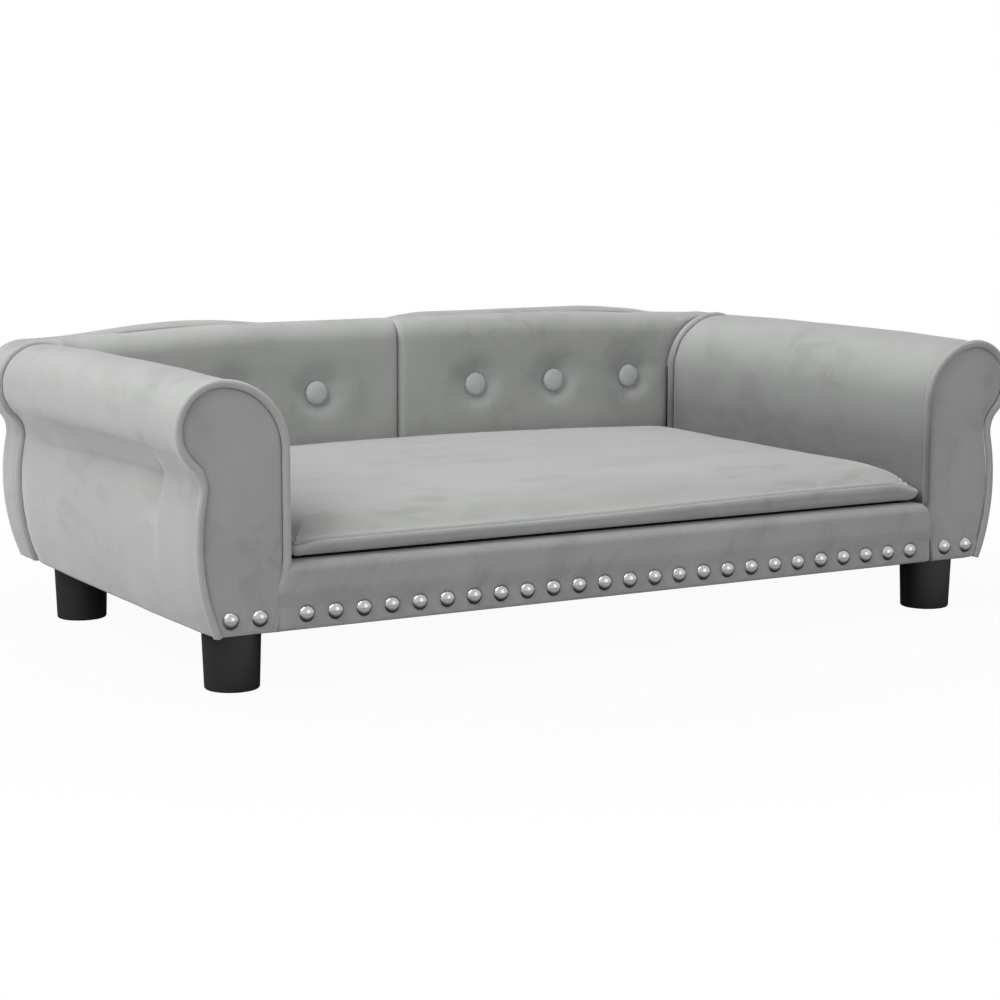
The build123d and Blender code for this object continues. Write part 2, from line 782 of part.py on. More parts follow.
# Rear of the back
def rear_wire(y, inset, drop):
    """Return the back unit's outline, with its raised middle and the dip at its centre."""
    right = arm_edges(inset, y)[:3]
    low = arm_height - inset
    high = overall_height - back_proud - drop - inset
    rise = high - low
    end_x = roll_centre_x - back_rise_run
    turn = math.degrees(2 * math.atan2(rise, back_rise_run))
    radius = back_rise_run / 2 / math.sin(math.radians(turn))
    start_centre = Vector(roll_centre_x, y, low + radius)
    end_centre = Vector(end_x, y, high - radius)
    dip_angle = math.degrees(2 * math.atan2(back_dip_depth, back_dip_span))
    dip_radius = back_dip_span / math.sin(math.radians(dip_angle))
    dip_centre = Vector(back_dip_span, y, high - dip_radius)
    right += [
        upright_arc(start_centre, radius, -90, -90 - turn),
        upright_arc(end_centre, radius, 90 - turn, 90),
        Line((end_x, y, high), (back_dip_span, y, high)),
        upright_arc(dip_centre, dip_radius, 90, 90 + dip_angle),
    ]
    left = [mirrored(edge) for edge in reversed(right)]
    return Wire(right + left + [Line(left[-1] @ 0, right[0] @ 0)])


def rear_form(skin):
    """Return the body behind the arms, rounded to the rear."""
    inset = skin - back_proud
    radius = back_rear_radius - skin
    round_y = half_depth - skin - radius
    wires = [
        rear_wire(back_start_y, inset, back_front_drop),
        rear_wire(pad_back_y, inset, back_crest_drop),
    ]
    for angle in range(0, 91, 15):
        turn = math.radians(angle)
        y = round_y + radius * math.sin(turn)
        wires.append(rear_wire(y, inset + radius * (1 - math.cos(turn)), 0))
    return ruled(wires)


pad_pocket = box(
    (-arm_inner_x, back_start_y - overrun, 0),
    (arm_inner_x, hardboard_y, overall_height + overrun),
)
rear_cover = rear_form(0) - rear_form(fabric) - pad_pocket
save("rear_cover", rear_cover)

frame_space_x = post_inner_x + post_width + layer_gap
frame_space = box(
    (-frame_space_x, back_start_y - overrun, 0),
    (frame_space_x, frame_back_y + layer_gap, frame_top + layer_gap),
)
end_board_space = arm_slab(board_inset - layer_gap, back_start_y - overrun, end_post_y + layer_gap)
wadding = rear_form(foam_outset) - frame_space - pad_pocket
wadding = wadding - end_board_space - mirrored(end_board_space)
save("back_wadding", wadding)


# Seat cushion
def cushion_wire(y, inset, base_share, rise_share, reach_share, draw):
    """Return the cushion's outline across its width at one place of its depth."""
    half = cushion_half_width - cushion_corner * (1 - reach_share) - draw - inset
    seam = cushion_level + cushion_seam_rise
    low = seam - cushion_seam_rise * base_share + inset
    above = cushion_edge_rise - cushion_seam_rise
    edge = seam + above * rise_share - inset
    crown = edge + cushion_crown * rise_share
    base_x = half - cushion_base_round
    edge_x = half - cushion_edge_round
    lean = 1 - math.sqrt(1 / 2)
    base_bow = (half - cushion_base_round * lean, low + (seam - low) * lean)
    edge_bow = (half - cushion_edge_round * lean, edge - (edge - seam) * lean)
    right = [
        ThreePointArc((base_x, y, low), (base_bow[0], y, base_bow[1]), (half, y, seam)),
        ThreePointArc((half, y, seam), (edge_bow[0], y, edge_bow[1]), (edge_x, y, edge)),
    ]
    left = [mirrored(edge) for edge in reversed(right)]
    top = ThreePointArc((edge_x, y, edge), (0, y, crown), (-edge_x, y, edge))
    return Wire(right + [top] + left + [Line((-base_x, y, low), (base_x, y, low))])


def cushion_form(inset):
    """Return the cushion's body, crowned, drawn in at its sides and rounded at its ends."""
    front = cushion_front_y + inset
    rear = cushion_rear_y - inset
    ends = []
    for step in range(cushion_end_steps + 1):
        turn = math.radians(90 * step / cushion_end_steps)
        fullness = math.sin(turn)
        shares = (
            cushion_end_share + (1 - cushion_end_share) * min(fullness * cushion_base_fill_share, 1),
            cushion_end_share + (1 - cushion_end_share) * fullness,
            fullness,
        )
        ends.append((1 - math.cos(turn), shares))
    stations = [(front + cushion_front_round * place, shares, 0) for place, shares in ends]
    low = front + cushion_front_round
    high = rear - cushion_rear_round
    for place in (1 / 4, 1 / 2, 3 / 4):
        bow = math.sin(math.pi * place)
        shares = (1, 1 + bow * cushion_side_draw / cushion_edge_rise, 1)
        stations.append((low + (high - low) * place, shares, cushion_side_draw * bow))
    stations += [(rear - cushion_rear_round * place, shares, 0) for place, shares in reversed(ends)]
    return ruled([cushion_wire(y, inset, *shares, draw) for y, shares, draw in stations])


zip_face_y = cushion_rear_y - zip_recess
zip_bottom = cushion_level + zip_rise
zip_space = box(
    (-zip_length / 2, zip_face_y, zip_bottom),
    (zip_length / 2, cushion_rear_y + overrun, zip_bottom + zip_width),
)
seam_height = cushion_level + cushion_seam_rise
above_seam = box(
    (-half_width, -half_depth - overrun, seam_height + layer_gap / 2),
    (half_width, half_depth, overall_height + overrun),
)
below_seam = box(
    (-half_width, -half_depth - overrun, 0),
    (half_width, half_depth, seam_height - layer_gap / 2),
)
cushion_shell = cushion_form(0) - cushion_form(fabric)
save("cushion_top_cover", cushion_shell & above_seam)
save("cushion_base_cover", (cushion_shell & below_seam) - zip_space)
save("cushion_core", cushion_form(foam_outset) - zip_space)

zip_tape_back_y = zip_face_y + zip_tape_thickness
zip_tape = box(
    (-zip_length / 2 + layer_gap, zip_face_y, zip_bottom + layer_gap),
    (zip_length / 2 - layer_gap, zip_tape_back_y, zip_bottom + zip_width - layer_gap),
)
save("cushion_zip_tape", zip_tape)

slider_end_x = zip_length / 2 - zip_end_margin
slider_y = zip_tape_back_y + layer_gap
zip_middle = zip_bottom + zip_width / 2
slider = box(
    (slider_end_x - zip_slider_length, slider_y, zip_middle - zip_slider_width / 2),
    (slider_end_x, slider_y + zip_slider_thickness, zip_middle + zip_slider_width / 2),
)
slider = slider.chamfer(zip_slider_thickness / 3, None, slider.edges().filter_by(Axis.Y))
pull_y = slider_y + zip_slider_thickness
pull_end_x = slider_end_x - zip_slider_length / 3
pull = box(
    (pull_end_x - zip_pull_length, pull_y, zip_middle - zip_pull_width / 2),
    (pull_end_x, pull_y + zip_pull_thickness, zip_middle + zip_pull_width / 2),
)
save("cushion_zip_slider", slider + pull)
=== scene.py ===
import json
import math

import bmesh
import bpy
import numpy as np
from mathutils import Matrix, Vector, kdtree, noise


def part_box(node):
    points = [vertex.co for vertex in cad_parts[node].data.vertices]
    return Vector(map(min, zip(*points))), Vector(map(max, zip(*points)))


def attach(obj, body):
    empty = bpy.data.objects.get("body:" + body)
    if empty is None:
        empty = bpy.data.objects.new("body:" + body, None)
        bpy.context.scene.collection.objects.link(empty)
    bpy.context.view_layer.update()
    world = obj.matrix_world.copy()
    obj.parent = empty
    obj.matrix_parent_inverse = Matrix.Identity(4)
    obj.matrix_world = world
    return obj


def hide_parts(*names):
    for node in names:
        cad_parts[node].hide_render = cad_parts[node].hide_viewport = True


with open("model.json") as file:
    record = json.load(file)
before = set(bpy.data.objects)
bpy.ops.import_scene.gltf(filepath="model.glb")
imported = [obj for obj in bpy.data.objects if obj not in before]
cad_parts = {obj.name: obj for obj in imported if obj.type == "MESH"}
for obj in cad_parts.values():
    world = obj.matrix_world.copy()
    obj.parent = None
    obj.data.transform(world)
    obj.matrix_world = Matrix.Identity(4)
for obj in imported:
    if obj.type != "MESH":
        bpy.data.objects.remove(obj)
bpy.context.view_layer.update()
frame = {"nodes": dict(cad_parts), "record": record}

bl_info = {
    "name": "Sofa Shaped Dog Bed",
    "version": (1, 0, 0),
    "blender": (4, 5, 0),
    "location": "3D View > Sidebar > Dog Bed",
    "description": "Upholsters a small velvet dog sofa round its packed frame",
    "category": "Object",
}

MM = 0.001

# Outline of the arm, in millimetres, as the boards inside are cut
BODY_BOTTOM = 56.0
ARM_TOP = 284.5
ARM_OUTER_X = 471.25
ARM_INNER_X = 368.0
ROLL_RADIUS = 41.0
ROLL_X = ARM_OUTER_X - ROLL_RADIUS
SHOULDER_RADIUS = ROLL_X - ARM_INNER_X
SHOULDER_Z = ARM_TOP - SHOULDER_RADIUS
WAIST_RADIUS = 30.0
BULGE_RADIUS = 216.0
BULGE_INSET = 17.75
BULGE_HEIGHT = 140.0
SLANT_TOP = 120.0
SLANT = math.atan2(12.0, 64.0)
BEND_RADIUS = 60.0
BEND_HEIGHT = SLANT_TOP + BEND_RADIUS * math.tan(SLANT / 2)
ARM_FRONT_Y = -266.45
ARM_BACK_Y = 206.2

# Share of the arm's outline, from its outer foot, after which its inner side lies
INNER_SHARE = 0.55

# Places of the other upholstered parts, in millimetres
PANEL_FACE_Y = -270.5
PANEL_BACK_Y = -264.5
PANEL_CENTRE = (414.0, 178.0)
REAR_PIPING_Y = 210.0
RAIL_BOTTOM = 56.2
RAIL_TOP = 119.0
RAIL_PROUD = 4.0
RAIL_BACK_Y = -250.5
RAIL_INNER_Y = -264.3
RAIL_EDGE = 9.0
NAIL_PITCH = 29.0
NAIL_COUNT = 25
NAIL_ROW_Z = 70.5
ARM_NAILS = ((423.5, NAIL_ROW_Z), (395.0, NAIL_ROW_Z))
PAD_FRONT_Y = 216.0
PAD_BACK_Y = 241.7
PAD_TOP = 295.5
PAD_FOOT = 120.5
PAD_FLAP_FRONT_Y = 212.6
PAD_FLAP_BACK_Y = 231.0
BUTTON_XS = (102.0, 207.5, 313.0)
BUTTON_Z = 216.0
BUTTON_SEAT_Y = 224.0
BUTTON_RADIUS = 13.0
BUTTON_HEIGHT = 7.0
REAR_START_Y = 213.8
REAR_CREST_Y = 242.3
REAR_Y = 275.0
REAR_ROUND = 24.0
REAR_PROUD = 3.0
BACK_TOP = 300.0
CUSHION_HALF = 363.0
CUSHION_FRONT_Y = -268.0
CUSHION_REAR_Y = 213.0
CUSHION_SEAM_Z = 133.7
CUSHION_BASE_Z = 120.7
CUSHION_BAND = CUSHION_SEAM_Z - CUSHION_BASE_Z
CUSHION_FULL = 20.0
STITCH_INSET = 5.5
ZIP_HALF = 259.7
ZIP_LOW_Z = 123.7
ZIP_HIGH_Z = 130.7
ZIP_FACE_Y = 210.0

# Cloth simulation: voxels and moves in millimetres
CLOTH_VOXEL = 8.5
CLOTH_CAP = 5.0
CLOTH_FRAMES = 20
CLOTH_PRESSURE = 4.0

# Thickness of the cloths, in metres
VELVET_THICKNESS = 0.0016
LINING_THICKNESS = 0.0006


def linear(hex_colour):
    """Return the linear colour of an sRGB hex value."""
    parts = [int(hex_colour[i : i + 2], 16) / 255 for i in (0, 2, 4)]
    return [c / 12.92 if c <= 0.04045 else ((c + 0.055) / 1.055) ** 2.4 for c in parts] + [1.0]


def colour_setting(name, description, hex_colour):
    """Return a colour setting whose default is an sRGB hex value."""
    return bpy.props.FloatVectorProperty(
        name=name,
        description=description,
        subtype="COLOR",
        size=4,
        min=0,
        max=1,
        default=linear(hex_colour),
    )


def length_setting(name, description, default):
    """Return a length setting in metres."""
    return bpy.props.FloatProperty(name=name, description=description, unit="LENGTH", default=default)


class BedColours(bpy.types.PropertyGroup):
    """Colours of the bed's velvet."""

    velvet: colour_setting("Velvet", "Colour of the velvet where its pile lies flat", "b4b6b4")
    velvet_shade: colour_setting(
        "Brushed velvet", "Colour of the velvet where a hand has brushed the pile up", "9fa19f"
    )


class BedSizes(bpy.types.PropertyGroup):
    """Sizes of the upholstery that change its look."""

    arm_crown: length_setting("Arm crown", "How much fuller the arm is in the middle of its length", 0.0045)
    crease_depth: length_setting(
        "Waist crease", "Depth of the pulled crease along the outside of the arm", 0.008
    )
    tuft_depth: length_setting("Tuft depth", "How deep a button draws the back in", 0.0085)
    cushion_crown: length_setting("Cushion crown", "Rise of the cushion's middle over its edge", 0.010)
    front_welt: length_setting("Front piping", "Thickness of the piping round the arm fronts", 0.0075)
    rear_welt: length_setting("Rear piping", "Thickness of the piping between arms and back", 0.0085)
    nap_patch: length_setting("Nap patch", "Usual width of a patch of pile that lies one way", 0.085)


def add_node(tree, kind, inputs=None, **settings):
    """Add a shader node. An input is a value, a socket, or a node meant by its first output."""
    node = tree.nodes.new("ShaderNode" + kind)
    for name, value in settings.items():
        setattr(node, name, value)
    for socket, value in (inputs or {}).items():
        source = value.outputs[0] if isinstance(value, bpy.types.Node) else value
        if isinstance(source, bpy.types.NodeSocket):
            tree.links.new(source, node.inputs[socket])
        else:
            node.inputs[socket].default_value = source
    return node


def new_material(name):
    """Return an empty node material, its tree and its output node."""
    material = bpy.data.materials.new(name)
    material.use_nodes = True
    material.node_tree.nodes.clear()
    tree = material.node_tree
    return material, tree, add_node(tree, "OutputMaterial")


def painted_inner_shade(tree, place, colour):
    """Paint shade into a colour down the insides of the arms, darker towards their lower part."""
    axes = add_node(tree, "SeparateXYZ", {"Vector": place})
    side = add_node(tree, "Math", {0: axes.outputs["X"]}, operation="ABSOLUTE")
    inside = add_node(
        tree,
        "MapRange",
        {"From Min": 0.415, "From Max": 0.385, "Value": side},
        interpolation_type="SMOOTHSTEP",
    )
    low = add_node(tree, "MapRange", {"From Min": 0.274, "From Max": 0.18, "Value": axes.outputs["Z"]})
    share = add_node(tree, "Math", {0: inside, 1: low}, operation="MULTIPLY")
    shade = add_node(tree, "MapRange", {"To Min": 1.0, "To Max": 0.42, "Value": share})
    return add_node(tree, "VectorMath", {0: colour, 1: shade}, operation="MULTIPLY")


def velvet(name, light, dark, patch, stretch=(1.0, 1.0, 1.0), turn=(0.0, 0.0, 0.0), marks=0.6, falls=False):
    """Return knitted polyester velvet, whose pile lies in patches that look lighter or darker."""
    # The short pile scatters light back at grazing angles, so rolls and crests have a pale rim
    material, tree, output = new_material(name)
    place = add_node(tree, "TexCoord").outputs["Object"]
    turned = add_node(tree, "Mapping", {"Rotation": turn, "Vector": place})
    mapped = add_node(tree, "Mapping", {"Scale": stretch, "Vector": turned})
    broad = add_node(
        tree,
        "TexNoise",
        {"Scale": 1 / patch, "Detail": 2.0, "Roughness": 0.5, "Distortion": 0.3, "Vector": mapped},
    )
    # Strokes of a hand: about a third as wide as the patches, with one clear edge
    stroke = add_node(
        tree,
        "TexNoise",
        {"Scale": 3.1 / patch, "Detail": 2.0, "Roughness": 0.55, "Distortion": 0.5, "Vector": mapped},
    )
    broad_share = add_node(
        tree,
        "MapRange",
        {"From Min": 0.36, "From Max": 0.66, "To Max": 0.7, "Value": broad},
        interpolation_type="SMOOTHSTEP",
    )
    stroke_share = add_node(
        tree,
        "MapRange",
        {"From Min": 0.48, "From Max": 0.62, "To Max": marks, "Value": stroke},
        interpolation_type="SMOOTHSTEP",
    )
    within = add_node(tree, "Math", {0: broad_share, 1: stroke_share}, operation="MULTIPLY")
    half = add_node(tree, "Math", {0: broad_share, 1: 0.35}, operation="MULTIPLY")
    share = add_node(tree, "Math", {0: within, 1: half}, operation="ADD", use_clamp=True)
    # Pile is 0.1 mm thick and is drawn as tufts of 0.9 mm, the least that shows
    pile = add_node(
        tree, "TexNoise", {"Scale": 1100.0, "Detail": 2.0, "Roughness": 0.7, "Vector": place}
    )
    tint = add_node(tree, "Mix", {0: share, 6: light, 7: dark}, data_type="RGBA")
    speck = add_node(
        tree,
        "MapRange",
        {"From Min": 0.3, "From Max": 0.7, "To Min": 0.95, "To Max": 1.05, "Value": pile},
    )
    shown = add_node(tree, "VectorMath", {0: tint.outputs[2], 1: speck}, operation="MULTIPLY")
    # Painted shade: with falls set, the colour darkens down the insides of the arms
    if falls:
        shown = painted_inner_shade(tree, place, shown)
    bump = add_node(tree, "Bump", {"Strength": 0.35, "Distance": 0.0004, "Height": pile})
    shading = {
        "Roughness": 0.78,
        "IOR": 1.5,
        "Specular IOR Level": 0.3,
        "Sheen Weight": 0.85,
        "Sheen Roughness": 0.42,
    }
    bsdf = add_node(tree, "BsdfPrincipled", shading | {"Base Color": shown, "Normal": bump})
    tree.links.new(bsdf.outputs[0], output.inputs[0])
    return material


def grained(name, tints, scale, shading, stretch=(1.0, 1.0, 1.0), bump=0.0002, detail=4.0):
    """Return a plain finish whose colour and height vary in one grain."""
    material, tree, output = new_material(name)
    place = add_node(tree, "TexCoord").outputs["Object"]
    mapped = add_node(tree, "Mapping", {"Scale": stretch, "Vector": place})
    grain = add_node(
        tree, "TexNoise", {"Scale": scale, "Detail": detail, "Roughness": 0.6, "Vector": mapped}
    )
    light, dark = (linear(tint) for tint in tints)
    tint = add_node(tree, "Mix", {0: grain, 6: light, 7: dark}, data_type="RGBA")
    raised = add_node(tree, "Bump", {"Strength": 0.4, "Distance": bump, "Height": grain})
    bsdf = add_node(tree, "BsdfPrincipled", shading | {"Base Color": tint.outputs[2], "Normal": raised})
    tree.links.new(bsdf.outputs[0], output.inputs[0])
    return material


# Velvets: material, its two tints where they aren't the bed's own, and what else differs
VELVETS = {
    "velvet": ("knitted_velvet", None, {}),
    # The cushion is stroked across its width, so its marks are long that way
    "cushion_velvet": ("stroked_knitted_velvet", None, {"stretch": (0.55, 1.7, 1.0), "marks": 0.8}),
    # The arms' velvet has painted shade down their inner faces
    "arm_velvet": ("draped_knitted_velvet", None, {"stretch": (1.0, 0.7, 1.2), "falls": True}),
    # The rail is stroked down at a slant
    "rail_velvet": (
        "slant_knitted_velvet", None, {"stretch": (0.5, 1.0, 1.3), "turn": (0.0, math.radians(58), 0.0)}
    ),
    # Painted highlight: the piping takes lighter tints than the panels, standing in for the light it
    # catches round its cord
    "welt_velvet": ("painted_highlight_piping_knitted_velvet", ("bcbebc", "b0b2b0"), {}),
    # The same welt with painted shade: darker tints, darkening further down the insides of the arms
    "painted_shade_welt_velvet": ("shaded_knitted_velvet", ("b4b6b4", "a6a8a6"), {"falls": True}),
    # Painted highlight: the buttons take lighter tints of the velvet, standing in for the light on their
    # domes
    "button_velvet": ("painted_highlight_button_knitted_velvet", ("cacccc", "bec0be"), {}),
}

# Other finishes: material, two tints, grains per metre, shading and what else differs
GRAINS = {
    # Moulded with a fine spark texture: soft wide highlights on near black
    "polypropylene": (
        "moulded_polypropylene",
        ("252626", "333434"),
        900.0,
        {"Roughness": 0.42, "IOR": 1.49},
        {"bump": 0.00008},
    ),
    # Pressed steel heads plated with nickel and chrome: a bright mirror with faint waves
    "chrome": (
        "bright_chrome_plate",
        ("aeafaf", "bfc0c0"),
        160.0,
        {"Metallic": 1.0, "Roughness": 0.12},
        {"bump": 0.00006, "detail": 1.0},
    ),
    # Bright zinc plate: pale and slightly clouded metal
    "zinc": (
        "zinc_plated_steel",
        ("a9abac", "bfc0bf"),
        260.0,
        {"Metallic": 1.0, "Roughness": 0.34},
        {"bump": 0.00005},
    ),
    # Rotary cut poplar ply: long pale grain along the width
    "plywood": (
        "sawn_poplar_plywood",
        ("b98f5e", "dcbb8a"),
        220.0,
        {"Roughness": 0.7, "IOR": 1.45},
        {"stretch": (0.08, 1.0, 1.0), "bump": 0.0003},
    ),
    # Wet pressed fibre: dark brown with short fibres
    "hardboard": ("pressed_hardboard", ("5c3d25", "7d5736"), 700.0, {"Roughness": 0.6, "IOR": 1.45}, {}),
    # Cut polyurethane foam: cream, open cells of about a millimetre
    "foam": ("cut_polyurethane_foam", ("d9cfae", "efe7cc"), 900.0, {"Roughness": 0.95}, {"bump": 0.0005}),
    # Spunbonded polypropylene: matte black with short crossing fibres
    "lining": ("spunbonded_lining", ("0f1010", "242525"), 600.0, {"Roughness": 0.9}, {}),
    # Waxed flax: pale twisted strands
    "twine": ("waxed_twine", ("c8bfa8", "e3dcc8"), 900.0, {"Roughness": 0.7}, {}),
    # Woven nylon tape with a coil of teeth, a little darker than the velvet
    "nylon": ("woven_nylon_tape", ("4d4f4e", "646665"), 1200.0, {"Roughness": 0.75}, {}),
}

finishes = {}


def finish_of(name):
    """Return one of the bed's finishes, made when it is first asked for."""
    if name not in finishes and name in VELVETS:
        title, tints, extra = VELVETS[name]
        colours = bpy.context.scene.bed_colours
        own = (list(colours.velvet), list(colours.velvet_shade))
        light, dark = [linear(tint) for tint in tints] if tints else own
        finishes[name] = velvet(title, light, dark, bpy.context.scene.bed_sizes.nap_patch, **extra)
    elif name not in finishes:
        title, tints, scale, shading, extra = GRAINS[name]
        finishes[name] = grained(title, tints, scale, shading, **extra)
    return finishes[name]


def smooth(t):
    """Return a step that starts and ends softly, from 0 to 1."""
    t = np.clip(t, 0.0, 1.0)
    return t * t * (3 - 2 * t)


def quarter(t):
    """Return the height of a quarter round from 0 at its edge to 1."""
    t = np.clip(t, 0.0, 1.0)
    return np.sqrt(1 - (1 - t) ** 2)


def bell(t):
    """Return a soft peak of 1 at 0 that falls off on both sides."""
    return np.exp(-(t**2))


def lumps(points, size, seed):
    """Return soft irregular heights from -1 to 1 at points, in millimetres, of one lump size."""
    shift = Vector((seed * 17.3, seed * -9.1, seed * 5.7))
    flat = points.reshape(-1, 3) / size
    found = np.array([noise.noise(Vector(p) + shift) for p in flat])
    return found.reshape(points.shape[:-1])


def arc(centre, radius, start, end, count=40):
    """Return points of an arc between two angles in degrees."""
    turn = np.radians(np.linspace(start, end, count))
    return np.c_[centre[0] + radius * np.cos(turn), centre[1] + radius * np.sin(turn)]


def bearing(centre, point):
    """Return the angle in degrees from a centre to a point."""
    return math.degrees(math.atan2(point[1] - centre[1], point[0] - centre[0]))


def spaced(points, count):
    """Return the same line with evenly spaced points."""
    steps = np.r_[0, np.cumsum(np.linalg.norm(np.diff(points, axis=0), axis=1))]
    at = np.linspace(0, steps[-1], count)
    return np.c_[np.interp(at, steps, points[:, 0]), np.interp(at, steps, points[:, 1])]


def arm_outer_line(inset=0.0, crown=0.0):
    """Return the arm's outline from its outer foot over the bulge and waist to the roll's top."""
    roll = np.array([ROLL_X, ARM_TOP + crown - ROLL_RADIUS])
    bulge = np.array([ARM_OUTER_X - BULGE_INSET + crown - BULGE_RADIUS, BULGE_HEIGHT])
    span = np.linalg.norm(bulge - roll)
    near, far = ROLL_RADIUS + WAIST_RADIUS, BULGE_RADIUS + WAIST_RADIUS
    along = (near**2 - far**2 + span**2) / (2 * span)
    step = (bulge - roll) / span
    aside = math.sqrt(near**2 - along**2)
    waist = roll + step * along + np.array([-step[1], step[0]]) * aside
    reach = BULGE_RADIUS - inset
    foot = -math.degrees(math.asin((BULGE_HEIGHT - BODY_BOTTOM) / reach))
    turns = (bearing(waist, bulge) % 360, bearing(waist, roll) % 360)
    return np.vstack(
        [
            arc(bulge, reach, foot, bearing(bulge, waist)),
            arc(waist, WAIST_RADIUS + inset, *turns)[1:],
            arc(roll, ROLL_RADIUS - inset, bearing(roll, waist), 90)[1:],
        ]
    )


def arm_inner_line(inset=0.0, crown=0.0):
    """Return the arm's outline from the roll's top over the shoulder to its inner foot."""
    shoulder = (ROLL_X, ARM_TOP + crown - SHOULDER_RADIUS)
    turn = 180 + math.degrees(SLANT)
    bend = arc((ARM_INNER_X + BEND_RADIUS, BEND_HEIGHT), BEND_RADIUS - inset, 180, turn, 12)
    foot_x = bend[-1, 0] + (bend[-1, 1] - BODY_BOTTOM) * math.tan(SLANT)
    return np.vstack([arc(shoulder, SHOULDER_RADIUS - inset, 90, 180), bend, [[foot_x, BODY_BOTTOM]]])


def arm_line(count, crown=0.0):
    """Return the arm's whole outline, outer foot to inner foot, evenly spaced."""
    return spaced(np.vstack([arm_outer_line(0.0, crown), arm_inner_line(0.0, crown)[1:]]), count)


def floor_line(line, count):
    """Return points along the body's bottom that close an outline, from its end to its start."""
    return np.c_[np.linspace(line[-1, 0], line[0, 0], count + 2)[1:-1], np.full(count, BODY_BOTTOM)]


def outward(line):
    """Return the unit normals of an outline that runs from outer foot to inner foot."""
    along = np.gradient(line, axis=0)
    along /= np.linalg.norm(along, axis=1)[:, None]
    return np.c_[along[:, 1], -along[:, 0]]


def rings_to_faces(rings, around, caps=True):
    """Return points and faces of rings joined in order, with a fan at each end."""
    count, size = rings.shape[:2]
    points = rings.reshape(-1, 3)
    faces = []
    for row in range(count - 1):
        for col in range(size if around else size - 1):
            here, there = row * size, (row + 1) * size
            nxt = (col + 1) % size
            faces.append((here + col, here + nxt, there + nxt, there + col))
    if caps:
        points = np.vstack([points, rings[0].mean(0), rings[-1].mean(0)])
        first, last, base = count * size, count * size + 1, (count - 1) * size
        for col in range(size):
            nxt = (col + 1) % size
            faces += [(nxt, col, first), (base + col, base + nxt, last)]
    return points, faces


def joined(points, faces, more, more_faces):
    """Return the points and faces of two meshes as one."""
    base = len(points)
    return np.vstack([points, more]), faces + [tuple(i + base for i in face) for face in more_faces]


def span_grid(sides, u, v):
    """Return the grid of points spanned by bottom, right, top and left lines."""
    bottom, right, top, left = sides
    u, v = u[:, None, None], v[None, :, None]
    corners = (1 - u) * (1 - v) * bottom[0] + u * (1 - v) * bottom[-1]
    corners = corners + (1 - u) * v * top[0] + u * v * top[-1]
    edges = (1 - v) * bottom[:, None] + v * top[:, None] + (1 - u) * left[None] + u * right[None]
    return edges - corners


def make_piece(name, points, faces, finish, body="frame", merge=0.0):
    """Return a smooth mesh piece from points in millimetres, riding on a body."""
    mesh = bpy.data.meshes.new(name)
    mesh.from_pydata([tuple(p) for p in points * MM], [], faces)
    shape = bmesh.new()
    shape.from_mesh(mesh)
    if merge:
        bmesh.ops.remove_doubles(shape, verts=shape.verts, dist=merge * MM)
    bmesh.ops.recalc_face_normals(shape, faces=shape.faces)
    shape.to_mesh(mesh)
    shape.free()
    mesh.polygons.foreach_set("use_smooth", [True] * len(mesh.polygons))
    piece = bpy.data.objects.new(name, mesh)
    bpy.context.scene.collection.objects.link(piece)
    mesh.materials.append(finish_of(finish))
    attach(piece, body)
    return piece


def thicken(piece, thickness, offset):
    """Give a piece of cloth its thickness, in metres."""
    thick = piece.modifiers.new("cloth_thickness", "SOLIDIFY")
    thick.thickness = thickness
    thick.offset = offset


def dress_node(name, finish):
    """Give a node of the frame its finish."""
    mesh = frame["nodes"][name].data
    mesh.materials.clear()
    mesh.materials.append(finish_of(finish))


def welt_share(z, sign):
    """Return how much of the inner piping shows at a height, before the rail covers it."""
    # The rail's right end is drawn over the piping, the left one lies beside it
    return smooth((z - 110.0) / 12.0) if sign > 0 else smooth((z - 96.0) / 18.0)


def nail_pull(x, z, nails, depth, reach=7.5):
    """Return how far nails draw the cloth in at places of the front."""
    pulled = np.zeros_like(x)
    for nail_x, nail_z in nails:
        away = np.hypot(x - nail_x, z - nail_z)
        pulled = np.maximum(pulled, depth * bell(np.maximum(away - 5.0, 0) / reach))
    return pulled


